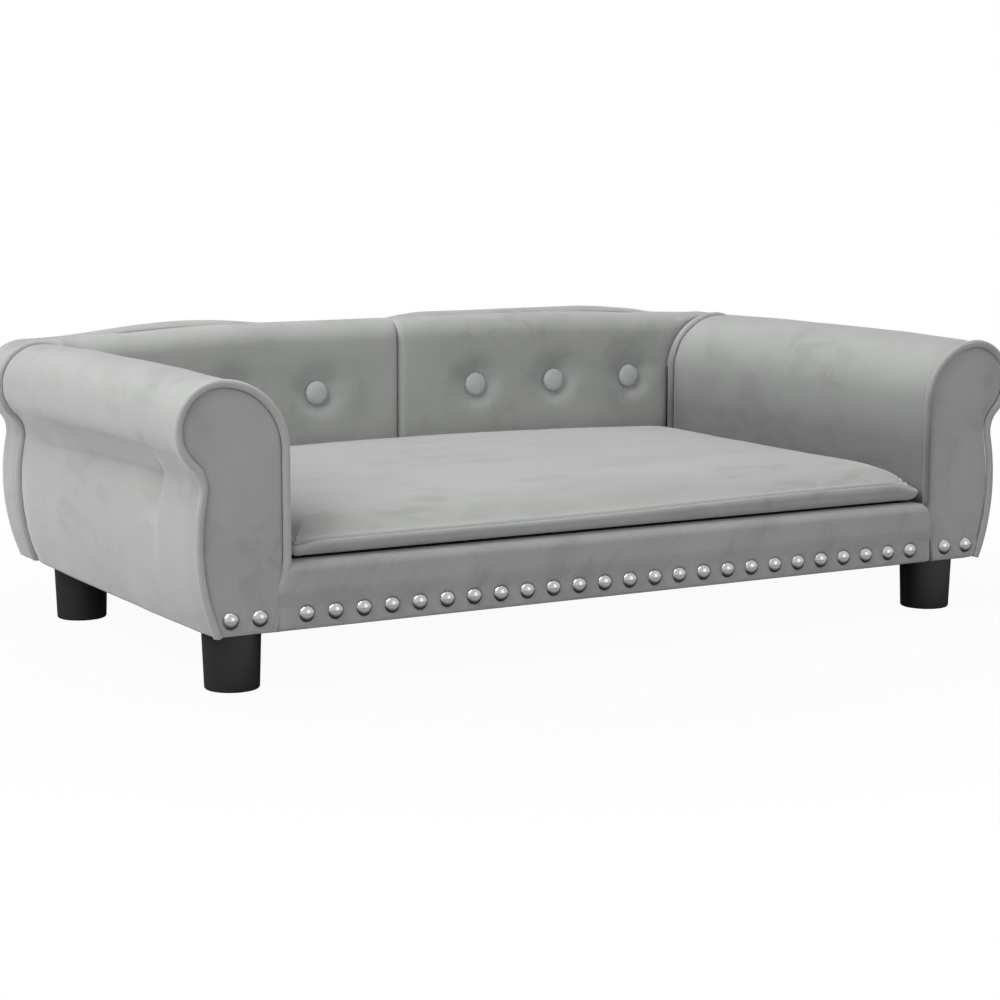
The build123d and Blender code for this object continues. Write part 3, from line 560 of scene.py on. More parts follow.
def arm_cover_rings(sign, sizes):
    """Return the rings of one arm's cover from front to back."""
    ends = np.r_[0, 0.6, 1.4, 2.4, 3.6, 5, 7, 9.5, 12.5, 16]
    length = ARM_BACK_Y - ARM_FRONT_Y
    places = np.r_[ends, np.arange(20, length - 19, 4.0), (length - ends)[::-1]]
    around, under = 190, 12
    rings, normals = [], []
    for place in places:
        share = min(place, length - place) / length
        full = sizes.arm_crown / MM * float(np.interp(share, [0, 0.05, 0.25, 0.5], [0, 0.5, 0.94, 1.0]))
        line = arm_line(around, full)
        out = np.vstack([outward(line), np.zeros((under, 2))])
        loop = np.vstack([line, floor_line(line, under)])
        rings.append(np.c_[loop[:, 0], np.full(len(loop), ARM_FRONT_Y + place), loop[:, 1]])
        normals.append(np.c_[out[:, 0], np.zeros(len(out)), out[:, 1]])
    points, out = np.array(rings), np.array(normals)
    x, y, z = points[..., 0], points[..., 1], points[..., 2]
    from_end = np.minimum(places, length - places)[:, None]
    lift = -2.6 * (1 - quarter(from_end / 6.0))
    real = points * np.array([sign, 1, 1])
    # Gathers where the cloth is sewn to the piping, 12 to 20 mm apart
    lift = lift + 0.55 * lumps(real * [1, 0.25, 1], 13.0, 1) * np.exp(-from_end / 14.0)
    lift = lift + 0.7 * lumps(real, 75.0, 2) + 0.25 * lumps(real, 28.0, 3)
    # Crease along the waist: the roll folds over it and the lower bulge starts at once
    outside = smooth((x - 425) / 15.0)
    line_z = np.interp(y, [-188, -176, -135, -30, 92, 190], [192, 195, 195.5, 193.5, 191, 187])
    above = z - line_z
    runs = 0.3 * smooth((y + 246) / 24.0) + 0.7 * smooth((y + 182) / 14.0)
    runs = runs * (1 - smooth((y - 120) / 80.0))
    depth = sizes.crease_depth / MM
    valley = np.exp(-np.abs(above) / np.where(above > 0, 9.5, 34.0))
    swell = 0.25 * bell((above - 34) / 13.0)
    lift = lift - depth * runs * outside * (valley - swell)
    # Pinch at the crease's front end, with a short upright hollow and a fold under it
    pinch = bell((y + 170) / 5.0) * bell((z - 189) / 9.0)
    aside = y + 168
    hollow = bell(aside / np.where(aside > 0, 30.0, 3.6))
    hollow = hollow * smooth((200 - z) / 8.0) * (1 - smooth((166 - z) / 22.0))
    fold_y = z - 297.0
    fold = bell((y - fold_y) / 4.5) * bell((z - 160) / 12.0)
    lift = lift - outside * depth * (0.55 * pinch + 0.75 * hollow - 0.3 * fold)
    lift = np.where(z <= BODY_BOTTOM + 0.01, np.minimum(lift, 0), lift)
    points = points + out * lift[..., None]
    points[..., 2] = np.maximum(points[..., 2], BODY_BOTTOM)
    return points * np.array([sign, 1, 1])


class BED_OT_arms(bpy.types.Operator):
    """Cover both arms, with the pulled crease along their outsides"""

    bl_idname = "bed.arms"
    bl_label = "Arm covers"

    def execute(self, context):
        for side, sign in (("left", -1), ("right", 1)):
            points, faces = rings_to_faces(arm_cover_rings(sign, context.scene.bed_sizes), True)
            piece = make_piece(f"arm_cover_{side}", points, faces, "arm_velvet")
            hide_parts(f"arm_{side}_cover", f"arm_{side}_foam")
        return {"FINISHED"}


class BED_OT_front_panels(bpy.types.Operator):
    """Make the padded panels on the arm fronts"""

    bl_idname = "bed.front_panels"
    bl_label = "Arm front panels"

    def execute(self, context):
        count = 260
        line = arm_line(count)
        # The panel is cut narrower where the piping shows, and full where the rail covers it
        inner = (np.arange(count) > count * INNER_SHARE) * (1 - welt_share(line[:, 1], 1))
        edge = line - outward(line) * (2.6 - 2.4 * inner)[:, None]
        edge = np.vstack([edge, floor_line(edge, 30)])
        edge[:, 1] = np.maximum(edge[:, 1], BODY_BOTTOM)
        centre = np.array(PANEL_CENTRE)
        shrinks = np.r_[0, 0.006, 0.014, 0.025, 0.04, 0.06, 0.085, 0.115, np.arange(0.15, 1, 0.05)]
        for side, sign in (("left", -1), ("right", 1)):
            rings = []
            for shrink in shrinks:
                flat = edge + (centre - edge) * shrink
                away = np.min(np.linalg.norm(flat[:, None] - edge[None], axis=2), axis=1)
                depth = PANEL_FACE_Y + 5.0 * (1 - quarter(away / 5.5))
                real = np.c_[flat[:, 0] * sign, np.zeros(len(flat)), flat[:, 1]]
                puff = 1.6 * smooth(away / 28.0) + 0.35 * lumps(real, 40.0, 4)
                puff = puff - nail_pull(flat[:, 0], flat[:, 1], ARM_NAILS, 1.4)
                puff = np.minimum(puff, 2.2) * smooth(away / 9.0)
                rings.append(np.c_[real[:, 0], depth - puff, real[:, 2]])
            back = rings[0].copy()
            back[:, 1] = PANEL_BACK_Y
            points, faces = rings_to_faces(np.array([back] + rings), True)
            piece = make_piece(f"arm_front_{side}", points, faces, "velvet")
            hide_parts(f"arm_{side}_front_panel")
        return {"FINISHED"}


class BED_OT_piping(bpy.types.Operator):
    """Run the piping round the fronts and backs of the arms"""

    bl_idname = "bed.piping"
    bl_label = "Piping"

    def execute(self, context):
        sizes = context.scene.bed_sizes
        count = 330
        line = arm_line(count)
        out = outward(line)
        inner = np.arange(count) > count * INNER_SHARE
        turns = np.radians(np.arange(0, 360, 20))
        rows = (
            ("front", PANEL_FACE_Y, sizes.front_welt / MM / 2),
            ("rear", REAR_PIPING_Y, sizes.rear_welt / MM / 2),
        )
        for end, y, radius in rows:
            for side, sign in (("left", -1), ("right", 1)):
                middle = np.c_[line[:, 0] * sign, np.full(count, y), line[:, 1]]
                hidden = np.where(inner & (end == "front"), 1 - welt_share(line[:, 1], sign), 0)
                middle[:, 1] += 4.2 * hidden
                thick = radius * (1 + 0.035 * lumps(middle, 16.0, 5)) * (1 - 0.35 * hidden)
                across = np.c_[out[:, 0] * sign, np.zeros(count), out[:, 1]]
                rings = middle[:, None, :] + thick[:, None, None] * (
                    np.cos(turns)[None, :, None] * across[:, None]
                    + np.sin(turns)[None, :, None] * np.array([0, 1, 0])
                )
                rings[..., 2] = np.maximum(rings[..., 2], BODY_BOTTOM)
                points, faces = rings_to_faces(rings, True)
                # Painted light: the left front piping takes the velvet with painted highlight, the others
                # the copy with painted shade
                pale = end == "front" and side == "left"
                finish = "welt_velvet" if pale else "painted_shade_welt_velvet"
                piece = make_piece(f"piping_{end}_{side}", points, faces, finish)
                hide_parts(f"arm_{side}_{end}_piping")
        return {"FINISHED"}


def rail_profile():
    """Return the rail cover's section as Y and Z, from its bottom up the face and over the top."""
    # The padding stands proud above the nails, which hold the cloth down to the board
    face_z = np.arange(60.0, RAIL_TOP - RAIL_EDGE, 1.6)
    bulge = RAIL_PROUD * smooth((face_z - 76) / 18.0)
    crest_y = PANEL_FACE_Y - RAIL_PROUD
    profile = [(RAIL_INNER_Y, RAIL_BOTTOM), (-266.6, RAIL_BOTTOM), (-268.8, 56.9), (-270.1, 58.2)]
    profile += [(PANEL_FACE_Y - out, z) for out, z in zip(bulge, face_z)]
    profile += [
        (crest_y + RAIL_EDGE * (1 - math.cos(t)), RAIL_TOP - RAIL_EDGE * (1 - math.sin(t)))
        for t in np.radians(np.arange(0, 91, 7.5))
    ]
    tops = np.linspace(-263, RAIL_BACK_Y, 7)
    profile += [(y, RAIL_TOP - 0.3 * smooth((y + 264) / 14)) for y in tops]
    profile += [(RAIL_BACK_Y, 116.4), (-260.9, 116.6), (RAIL_INNER_Y, 108.0), (RAIL_INNER_Y, 80.0)]
    return np.array(profile)


class BED_OT_rail(bpy.types.Operator):
    """Cover the padded front rail"""

    bl_idname = "bed.rail"
    bl_label = "Front rail"

    def execute(self, context):
        y, z = rail_profile().T
        # The ends lean with the arms' inner edges, each in its own way
        levels = [56, 86, 99, 111, 120]
        right_x = np.interp(z, levels, [378.0, 377.0, 375.0, 373.5, 372.0])
        left_x = np.interp(z, levels, [377.5, 378.5, 378.0, 374.5, 371.5])
        near = np.r_[0, 0.3, 0.8, 1.5, 2.5, 3.8, 5.4, 7.2, 9.2, 11.5, 14]
        places = np.r_[near, np.arange(16.5, 350, 2.1)]
        rise = np.clip((z - 85) / (RAIL_TOP - 85), 0, 1)
        halves = []
        for place in places:
            drop = RAIL_EDGE * (1 - quarter(place / RAIL_EDGE))
            draw = 6.0 * (1 - quarter(place / 8.0))
            halves.append([y + draw * (y < RAIL_INNER_Y + 1), z - drop * rise])
        halves = np.array(halves)
        right = np.dstack([right_x[None] - places[:, None], halves[:, 0], halves[:, 1]])
        left = np.dstack([places[:, None] - left_x[None], halves[:, 0], halves[:, 1]])
        rings = np.concatenate([left, right])
        rings = rings[np.argsort(rings[:, 0, 0])]
        x, y, z = rings[..., 0], rings[..., 1], rings[..., 2]
        reach = NAIL_PITCH * (NAIL_COUNT - 1) / 2
        nails = [(-reach + NAIL_PITCH * i, NAIL_ROW_Z) for i in range(NAIL_COUNT)]
        face = smooth((RAIL_INNER_Y - 1.0 - y) / 3.0)
        soft = 0.7 * lumps(rings * [1, 0, 1], 70.0, 6) + 0.25 * lumps(rings * [1, 0, 1], 20.0, 7)
        # Short upright puckers between neighbouring nails
        pucker = 0.22 * np.cos(2 * np.pi * x / NAIL_PITCH) * bell((z - 81) / 9.0)
        moved = y + face * (nail_pull(x, z, nails, 0.9) + soft * 0.6 + pucker)
        lowest = PANEL_FACE_Y - RAIL_PROUD - 1.2
        rings[..., 1] = np.where(face > 0, np.maximum(moved, lowest), moved)
        points, faces = rings_to_faces(rings, True)
        piece = make_piece("rail_cover_front", points, faces, "rail_velvet")
        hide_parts("rail_cover", "rail_foam")
        return {"FINISHED"}


class BED_OT_nails(bpy.types.Operator):
    """Plate the domed nails of the rail and the arms"""

    bl_idname = "bed.nails"
    bl_label = "Domed nails"

    def execute(self, context):
        for name in ("rail_nails", "arm_nails"):
            dress_node(name, "chrome")
        return {"FINISHED"}


class BED_OT_feet(bpy.types.Operator):
    """Finish the four moulded feet"""

    bl_idname = "bed.feet"
    bl_label = "Feet"

    def execute(self, context):
        for end in ("front", "rear"):
            for side in ("left", "right"):
                dress_node(f"leg_{end}_{side}", "polypropylene")
        return {"FINISHED"}


def pad_rings(sign, sizes):
    """Return the rings of one padded half of the back, from the middle seam over the arm."""
    near = np.r_[0, 0.4, 1, 2, 3.2, 4.8, 6.8, 9.2, 12, 15.5, 20]
    start, wall, stop = 0.5, ARM_INNER_X - 0.4, ROLL_X - 3.0
    xs = np.r_[start + near, np.arange(start + 22.5, wall - 21, 2.5), (wall - near)[::-1]]
    xs = np.r_[xs, wall + 0.3, np.arange(wall + 1.5, stop, 1.5), stop]
    levels = np.linspace(0, 1, 64)
    turn = np.radians(np.linspace(0, 90, 16))[1:]
    rings = []
    for x in xs:
        seam = 7.5 * (1 - quarter((x - start) / 9.0))
        top = PAD_TOP - 5.2 * np.clip((x - 170) / 150, 0, 1) ** 2 - seam * 0.45
        top = top - 2.6 * smooth((x - 340) / 86.0)
        side = SHOULDER_RADIUS**2 - (ROLL_X - x) ** 2
        low = PAD_FOOT if x <= wall else SHOULDER_Z + math.sqrt(max(side, 0)) + 0.8
        front, rear = PAD_FRONT_Y + seam, PAD_BACK_Y
        wide = (rear - front) * 0.93
        high = min(wide, (top - low) * 0.9)
        face_z = low + (top - high - low) * levels
        crest = np.c_[front + wide * (1 - np.cos(turn)), top - high * (1 - np.sin(turn))]
        rest = [(rear, top), (rear, top - 0.3 * (top - low)), (rear, (top + low) / 2), (rear, low)]
        outline = np.vstack([np.c_[np.full(len(levels), front), face_z], crest, rest])
        rings.append(np.c_[np.full(len(outline), x), outline])
    points = np.array(rings)
    x, y, z = points[..., 0], points[..., 1], points[..., 2]
    front_share = smooth((PAD_BACK_Y - 1.5 - y) / 12.0)
    tuft = np.zeros_like(x)
    for i, button_x in enumerate(BUTTON_XS):
        dx, dz = x - button_x, z - BUTTON_Z
        # A little wider above than below, where the pad's weight lies against the button
        reach = 15.0 + 2.5 * np.tanh(dz / 9.0)
        away = np.hypot(dx, dz)
        bowl = bell(np.maximum(away - 11.0, 0) / reach)
        folds = 0.5 * np.cos(5 * np.arctan2(dz, dx) + i * 1.7) * bell((away - 20) / 8.0)
        tuft = np.maximum(tuft, sizes.tuft_depth / MM * bowl) + folds * 0.8
    # The end is sewn along the arm's inside and on over its shoulder
    along_wall = np.maximum(wall - x, 0)
    along_arc = np.maximum(np.hypot(x - ROLL_X, z - SHOULDER_Z) - SHOULDER_RADIUS - 0.4, 0)
    away = np.where(z < SHOULDER_Z, along_wall, along_arc)
    tuft = tuft + 3.4 * (1 - quarter(away / 16.0))
    foot = 7.0 * (1 - np.sin(np.clip((z - PAD_FOOT) / 45.0, 0, 1) * np.pi / 2))
    spots = points * np.array([sign, 1, 1]) * [1, 0.2, 1]
    soft = 0.9 * lumps(spots, 80.0, 8) + 0.3 * lumps(spots, 30.0, 9)
    puff = 1.2 * bell((z - 262) / 26.0) * smooth((x - 3) / 20) * smooth(away / 20)
    points[..., 1] = y + front_share * (tuft + foot - soft * smooth(away / 10) - puff)
    points[..., 1] = np.minimum(points[..., 1], PAD_BACK_Y)
    return points * np.array([sign, 1, 1])


class BED_OT_back_pads(bpy.types.Operator):
    """Make the two tufted halves of the back"""

    bl_idname = "bed.back_pads"
    bl_label = "Tufted back"

    def execute(self, context):
        # The cover's edge turns forward along the arm, down to the piping
        near, far = (spaced(arm_inner_line(inset)[8:-14], 90) for inset in (-0.3, -1.2))
        edge = []
        for (ax, az), (bx, bz) in zip(near, far):
            front = [(ax, PAD_FLAP_FRONT_Y, az), (bx, PAD_FLAP_FRONT_Y, bz)]
            edge.append(front + [(bx, PAD_FLAP_BACK_Y, bz), (ax, PAD_FLAP_BACK_Y, az)])
        for side, sign in (("left", -1), ("right", 1)):
            pad = rings_to_faces(pad_rings(sign, context.scene.bed_sizes), True)
            flap = rings_to_faces(np.array(edge) * np.array([sign, 1, 1]), True)
            points, faces = joined(*pad, *flap)
            piece = make_piece(f"back_pad_{side}", points, faces, "velvet")
            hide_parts(f"back_pad_{side}_cover", f"back_pad_{side}_core")
        return {"FINISHED"}


class BED_OT_buttons(bpy.types.Operator):
    """Make the covered buttons of the back"""

    bl_idname = "bed.buttons"
    bl_label = "Covered buttons"

    def execute(self, context):
        # Cloth drawn over a shell: a low dome that turns in sharply at its rim
        shares = [0.30, 0.80, 0.95, 1.0, 0.99, 0.94, 0.85, 0.72, 0.56, 0.38, 0.2, 0.06]
        depths = [7.4, 7.3, 6.4, 5.0, 3.9, 2.6, 1.55, 0.9, 0.48, 0.2, 0.06, 0.0]
        turns = np.radians(np.arange(0, 360, 7.5))
        for side, sign in (("left", -1), ("right", 1)):
            points, faces = np.zeros((0, 3)), []
            for button_x in BUTTON_XS:
                rings = []
                for share, depth in zip(shares, depths):
                    # Small pleats run round the rim
                    reach = BUTTON_RADIUS * share * (1 + 0.012 * np.cos(turns * 12) * (depth > 3))
                    x = sign * button_x + reach * np.cos(turns)
                    y = np.full(len(turns), BUTTON_SEAT_Y - BUTTON_HEIGHT + depth)
                    rings.append(np.c_[x, y, BUTTON_Z + reach * np.sin(turns)])
                points, faces = joined(points, faces, *rings_to_faces(np.array(rings), True))
            piece = make_piece(f"buttons_{side}", points, faces, "button_velvet")
            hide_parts(f"back_buttons_{side}")
        return {"FINISHED"}


def back_top(x, inset, drop):
    """Return the height of the back's top line, raised in its middle with a dip at its centre."""
    low = ARM_TOP - inset
    high = BACK_TOP - REAR_PROUD - drop - inset
    across = np.abs(x)
    # The cloth is drawn down harder on the left of the middle seam and beside the right arm
    right_dip = 6.0 * np.clip(1 - across / 60.0, 0, 1) ** 2
    dip = np.where(x > 0, right_dip, 6.0 * smooth((x + 225) / 95.0))
    dip = dip + 2.5 * smooth((x - 330) / 50.0) * (1 - smooth((x - 405) / 22.0))
    return low + (high - low) * smooth((ROLL_X - across) / 180.0) - dip


def rear_sides(inset, drop, wide, tall):
    """Return the bottom, right, top and left lines of the back's outline, as X and Z."""
    right = spaced(arm_outer_line(inset), tall)
    top_x = np.linspace(-ROLL_X, ROLL_X, wide)
    top = np.c_[top_x, back_top(top_x, inset, drop)]
    left = right * [-1, 1]
    bottom = np.c_[np.linspace(left[0, 0], right[0, 0], wide), np.full(wide, BODY_BOTTOM)]
    return bottom, right, top, left


def rear_loops():
    """Return Y, inset and drop of each loop of the rear cover, from its front edge to its rear."""
    loops = [(REAR_START_Y + step, -REAR_PROUD, 5.0) for step in (0, 1.2, 3)]
    loops += [(y, -REAR_PROUD, 5.0) for y in (221.0, 228.0, 235.0)]
    for y in (REAR_CREST_Y, 243.2, 244.6, 246.6, 248.8, 251.0):
        loops.append((y, -REAR_PROUD, float(np.interp(y, [235, 241.7, 251], [5, 4, 0]))))
    for turn in np.radians(np.arange(6, 91, 6)):
        inset = -REAR_PROUD + REAR_ROUND * (1 - math.cos(turn))
        loops.append((REAR_Y - REAR_ROUND + REAR_ROUND * math.sin(turn), inset, 0.0))
    return loops


def loop_index(side, wide, tall):
    """Return where one side of the back's outline lies in its loop of points."""
    total = 2 * (wide - 1) + 2 * (tall - 1)
    first = {"bottom": 0, "right": wide - 1, "top": wide + tall - 2, "left": 2 * wide + tall - 3}
    count = wide if side in ("bottom", "top") else tall
    found = (first[side] + np.arange(count)) % total
    return found[::-1] if side in ("top", "left") else found


class BED_OT_rear_cover(bpy.types.Operator):
    """Cover the ends, top and rear of the back"""

    bl_idname = "bed.rear_cover"
    bl_label = "Rear of the back"

    def execute(self, context):
        wide, tall = 261, 91
        rings = []
        for y, inset, drop in rear_loops():
            bottom, right, top, left = rear_sides(inset, drop, wide, tall)
            loop = np.vstack([bottom[:-1], right[:-1], top[::-1][:-1], left[::-1][:-1]])
            depth = np.full(len(loop), y)
            on_top = np.zeros(len(loop), bool)
            on_top[wide + tall - 2 : 2 * wide + tall - 3] = True
            # Between the arms the cover starts behind the pads, sewn down at its crest
            pocket = on_top & (np.abs(loop[:, 0]) < ROLL_X - 3.0)
            depth[pocket] = np.maximum(depth[pocket], REAR_CREST_Y)
            seam = np.where(pocket, 2.4 * np.exp(-(depth - REAR_CREST_Y) / 2.2), 0)
            edge = np.where(pocket, 0, 2.2 * np.exp(-(y - REAR_START_Y) / 2.0))
            grow = -edge * (loop[:, 1] > BODY_BOTTOM + 1)
            across = loop[:, 0] + np.sign(loop[:, 0]) * (grow * ~on_top)
            high = loop[:, 1] - seam + np.where(on_top & ~pocket, grow, 0)
            rings.append(np.c_[across, depth, high])
        rings = np.array(rings)
        soft = 0.8 * lumps(rings, 85.0, 10) + 0.3 * lumps(rings, 30.0, 11)
        above = (rings[..., 2] > BODY_BOTTOM + 0.5) & (rings[..., 1] > 218)
        rings[..., 2] += soft * 0.5 * above * (rings[..., 2] > 270)
        rings[..., 0] += np.sign(rings[..., 0]) * soft * 0.7 * above * (rings[..., 2] < 270)
        points, faces = rings_to_faces(rings, True, caps=False)
        # The flat rear, between the four sides of the last loop
        u, v = np.linspace(0, 1, wide), np.linspace(0, 1, tall)
        flat = span_grid((bottom, right, top, left), u, v)
        grid = np.dstack([flat[..., 0], np.full(flat.shape[:2], REAR_Y), flat[..., 1]])
        gap = np.minimum(np.minimum(u, 1 - u)[:, None] * 860, np.minimum(v, 1 - v)[None] * 240)
        swell = 0.5 * lumps(grid, 90.0, 12) + 0.35 * lumps(grid * [1, 1, 0.4], 34.0, 13)
        # Pulls from the staples under the bottom edge
        pull = 0.5 * np.sin(grid[..., 0] / 11.0) * np.exp(-(grid[..., 2] - BODY_BOTTOM) / 12.0)
        grid[..., 1] += (swell * 1.2 + 0.6) * smooth(gap / 40.0) + pull * smooth(gap / 6.0)
        last = rings[-1]
        grid[0, :] = last[loop_index("left", wide, tall)]
        grid[-1, :] = last[loop_index("right", wide, tall)]
        grid[:, 0] = last[loop_index("bottom", wide, tall)]
        grid[:, -1] = last[loop_index("top", wide, tall)]
        points, faces = joined(points, faces, *rings_to_faces(grid, False, caps=False))
        piece = make_piece("rear_cover_back", points, faces, "velvet", merge=0.02)
        thicken(piece, VELVET_THICKNESS, -1)
        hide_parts("rear_cover", "back_wadding")
        return {"FINISHED"}


def cushion_plan(counts):
    """Return the cushion's outline from above, with the width of its rounding at each point."""
    edge_count, corner_count, side_count = counts
    # Sides, radius and first angle of each corner, and the width of the rounding before and after
    corners = (
        (1, -1, 7.0, -90, 85.0, 24.0),
        (1, 1, 24.0, 0, 24.0, 26.0),
        (-1, 1, 24.0, 90, 26.0, 24.0),
        (-1, -1, 7.0, 180, 24.0, 85.0),
    )
    arcs = []
    for sx, sy, radius, start, _, _ in corners:
        y = (CUSHION_FRONT_Y + radius) if sy < 0 else (CUSHION_REAR_Y - radius)
        arcs.append(arc((sx * (CUSHION_HALF - radius), y), radius, start, start + 90, corner_count))
    line, widths = [], []
    for index, (_, _, _, _, before, after) in enumerate(corners):
        count = edge_count if index % 2 else side_count
        last, following = arcs[index][-1], arcs[(index + 1) % 4][0]
        between = np.linspace(0, 1, count + 2)[1:-1, None]
        line += [arcs[index], last + (following - last) * between]
        widths += [np.linspace(before, after, corner_count), np.full(count, after)]
    return np.vstack(line), np.concatenate(widths)


def cushion_levels(x, y):
    """Return the heights of the cushion's seam and base, and how far its corners hang."""
    front = 1 - smooth((y - CUSHION_FRONT_Y - 6) / 60.0)
    hang = np.zeros_like(x)
    # The corners have no filling, so seam and top fall there, the front right one most
    corners = (
        (1, CUSHION_FRONT_Y, 8.0, 2, 34.0),
        (-1, CUSHION_FRONT_Y, 4.0, 2, 34.0),
        (1, CUSHION_REAR_Y, 3.0, 4, 40.0),
        (-1, CUSHION_REAR_Y, 3.0, 4, 40.0),
    )
    for side, corner_y, fall, start, reach in corners:
        away = np.hypot(x - side * CUSHION_HALF, y - corner_y)
        hang = hang + fall * (1 - smooth((away - start) / reach))
    seam = CUSHION_SEAM_Z + (2.0 + 4.4 * smooth((x + 100) / 350.0)) * front - hang * 0.85
    base = CUSHION_BASE_Z + 1.5 * (1 - smooth((y - CUSHION_FRONT_Y - 14) / 34.0))
    return seam, base, hang


def cushion_shape(sizes):
    """Return the cushion's points and faces: crowned top, sewn edge, rounded band and flat base."""
    edge, corner, side = 190, 25, 120
    ring, widths = cushion_plan((edge, corner, side))
    # Sides of the top: the outline is cut at the middle of each corner
    total = len(ring)
    cuts = np.cumsum([corner // 2, side + corner, edge + corner, side + corner])
    right, rear, left, front = (
        (start + np.arange((stop - start) % total + 1)) % total
        for start, stop in zip(cuts, np.roll(cuts, -1))
    )
    nu, nv = len(front), len(right)
    # Rows lie a little closer along the edges
    steps = (np.linspace(0, 1, count) for count in (nu, nv))
    u, v = (0.5 * t + 0.5 * (0.5 - 0.5 * np.cos(np.pi * t)) for t in steps)
    flat = span_grid((ring[front], ring[right], ring[rear][::-1], ring[left][::-1]), u, v)
    along = np.roll(ring, -1, 0) - np.roll(ring, 1, 0)
    along /= np.linalg.norm(along, axis=1)[:, None]
    out = np.c_[along[:, 1], -along[:, 0]]
    away, width, inward = np.empty((nu, nv)), np.empty((nu, nv)), np.empty((nu, nv, 2))
    for i in range(nu):
        gaps = np.linalg.norm(flat[i][:, None] - ring[None], axis=2)
        nearest = np.argmin(gaps, axis=1)
        away[i] = gaps[np.arange(nv), nearest]
        near = np.exp(-gaps / 18.0)
        width[i] = (near * widths).sum(1) / np.maximum(near.sum(1), 1e-12)
        inward[i] = -out[nearest]
    away[0], away[-1], away[:, 0], away[:, -1] = 0, 0, 0, 0
    # The top ends at the stitching, a little inside the cushion's outline
    flat = flat + inward * (STITCH_INSET * np.clip(1 - away / 30.0, 0, 1))[..., None]
    x, y = flat[..., 0], flat[..., 1]
    full = CUSHION_FULL + sizes.cushion_crown / MM * (1 - (x / CUSHION_HALF) ** 2)
    seam, _, hang = cushion_levels(x, y)
    # The top falls slowly to its seam
    rise = 1 - (1 - np.clip(away / width, 0, 1)) ** 2.3
    height = seam + (CUSHION_SEAM_Z + full - hang - seam) * rise
    ridge = 1.1 * bell((away - 2.2) / 2.4)
    # Small gathers run in from the stitching, closer and deeper at the corners
    gather = (0.35 + 0.09 * hang) * lumps(np.dstack([x, y, 0 * x]) * [1, 0.4, 1], 11.0, 17)
    ridge = ridge + gather * np.exp(-away / 11.0) * smooth(away / 2.0)
    top = np.dstack([x, y, height + ridge])
    soft = 0.8 * lumps(top * [0.6, 1, 0], 90.0, 14) + 0.3 * lumps(top * [0.5, 1, 0], 30.0, 15)
    top[..., 2] += soft * smooth(away / 60)
    # The seam allowance fills the edge below the stitching, which shows as a soft ridge
    bands = [(-5.3, -1.0), (-5.0, -2.3), (-4.3, -1.7), (-3.5, 0.2), (-2.6, 0.7), (-1.7, 0.4)]
    bands += [(-0.8, -0.6), (-0.25, -2.0), (0.0, -3.8)]
    turns = np.radians(np.arange(24, 91, 6))
    bands += [(-12.0 * (1 - math.cos(t)), -13.0 * math.sin(t)) for t in turns]
    seam, low, _ = cushion_levels(ring[:, 0], ring[:, 1])
    rings = [np.c_[ring + out * reach, seam + (seam - low) * drop / 13.0] for reach, drop in bands]
    for band in rings:
        # The edge steps back where the zip's tape lies
        recess = (np.abs(band[:, 0]) < ZIP_HALF) & (band[:, 1] > 150)
        recess &= (band[:, 2] > ZIP_LOW_Z) & (band[:, 2] < ZIP_HIGH_Z)
        band[:, 1] = np.where(recess, np.minimum(band[:, 1], ZIP_FACE_Y - 0.1), band[:, 1])
    # Flat base: the last ring drawn to a point in a few steps
    last, middle = rings[-1], rings[-1].mean(0)
    for share in (0.02, 0.05, 0.09, 0.14, 0.2, 0.35, 0.6, 0.8):
        inner = last + (middle - last) * share
        inner[:, 2] = cushion_levels(inner[:, 0], inner[:, 1])[1]
        rings.append(inner)
    points, faces = rings_to_faces(top, False, caps=False)
    # Boundary of the top in the outline's own order, joined to the band
    rim = np.empty(total, int)
    rim[front] = np.arange(nu) * nv
    rim[right] = (nu - 1) * nv + np.arange(nv)
    rim[rear] = (np.arange(nu) * nv + nv - 1)[::-1]
    rim[left] = np.arange(nv)[::-1]
    points[rim, :2] = ring - out * STITCH_INSET
    points[rim, 2] = seam + 0.3
    base = len(points)
    for k in range(total):
        n = (k + 1) % total
        faces.append((rim[k], rim[n], base + n, base + k))
    points, faces = joined(points, faces, *rings_to_faces(np.array(rings), True, caps=False))
    tip, start = len(points), len(points) - total
    faces += [(start + k, start + (k + 1) % total, tip) for k in range(total)]
    return np.vstack([points, middle]), faces


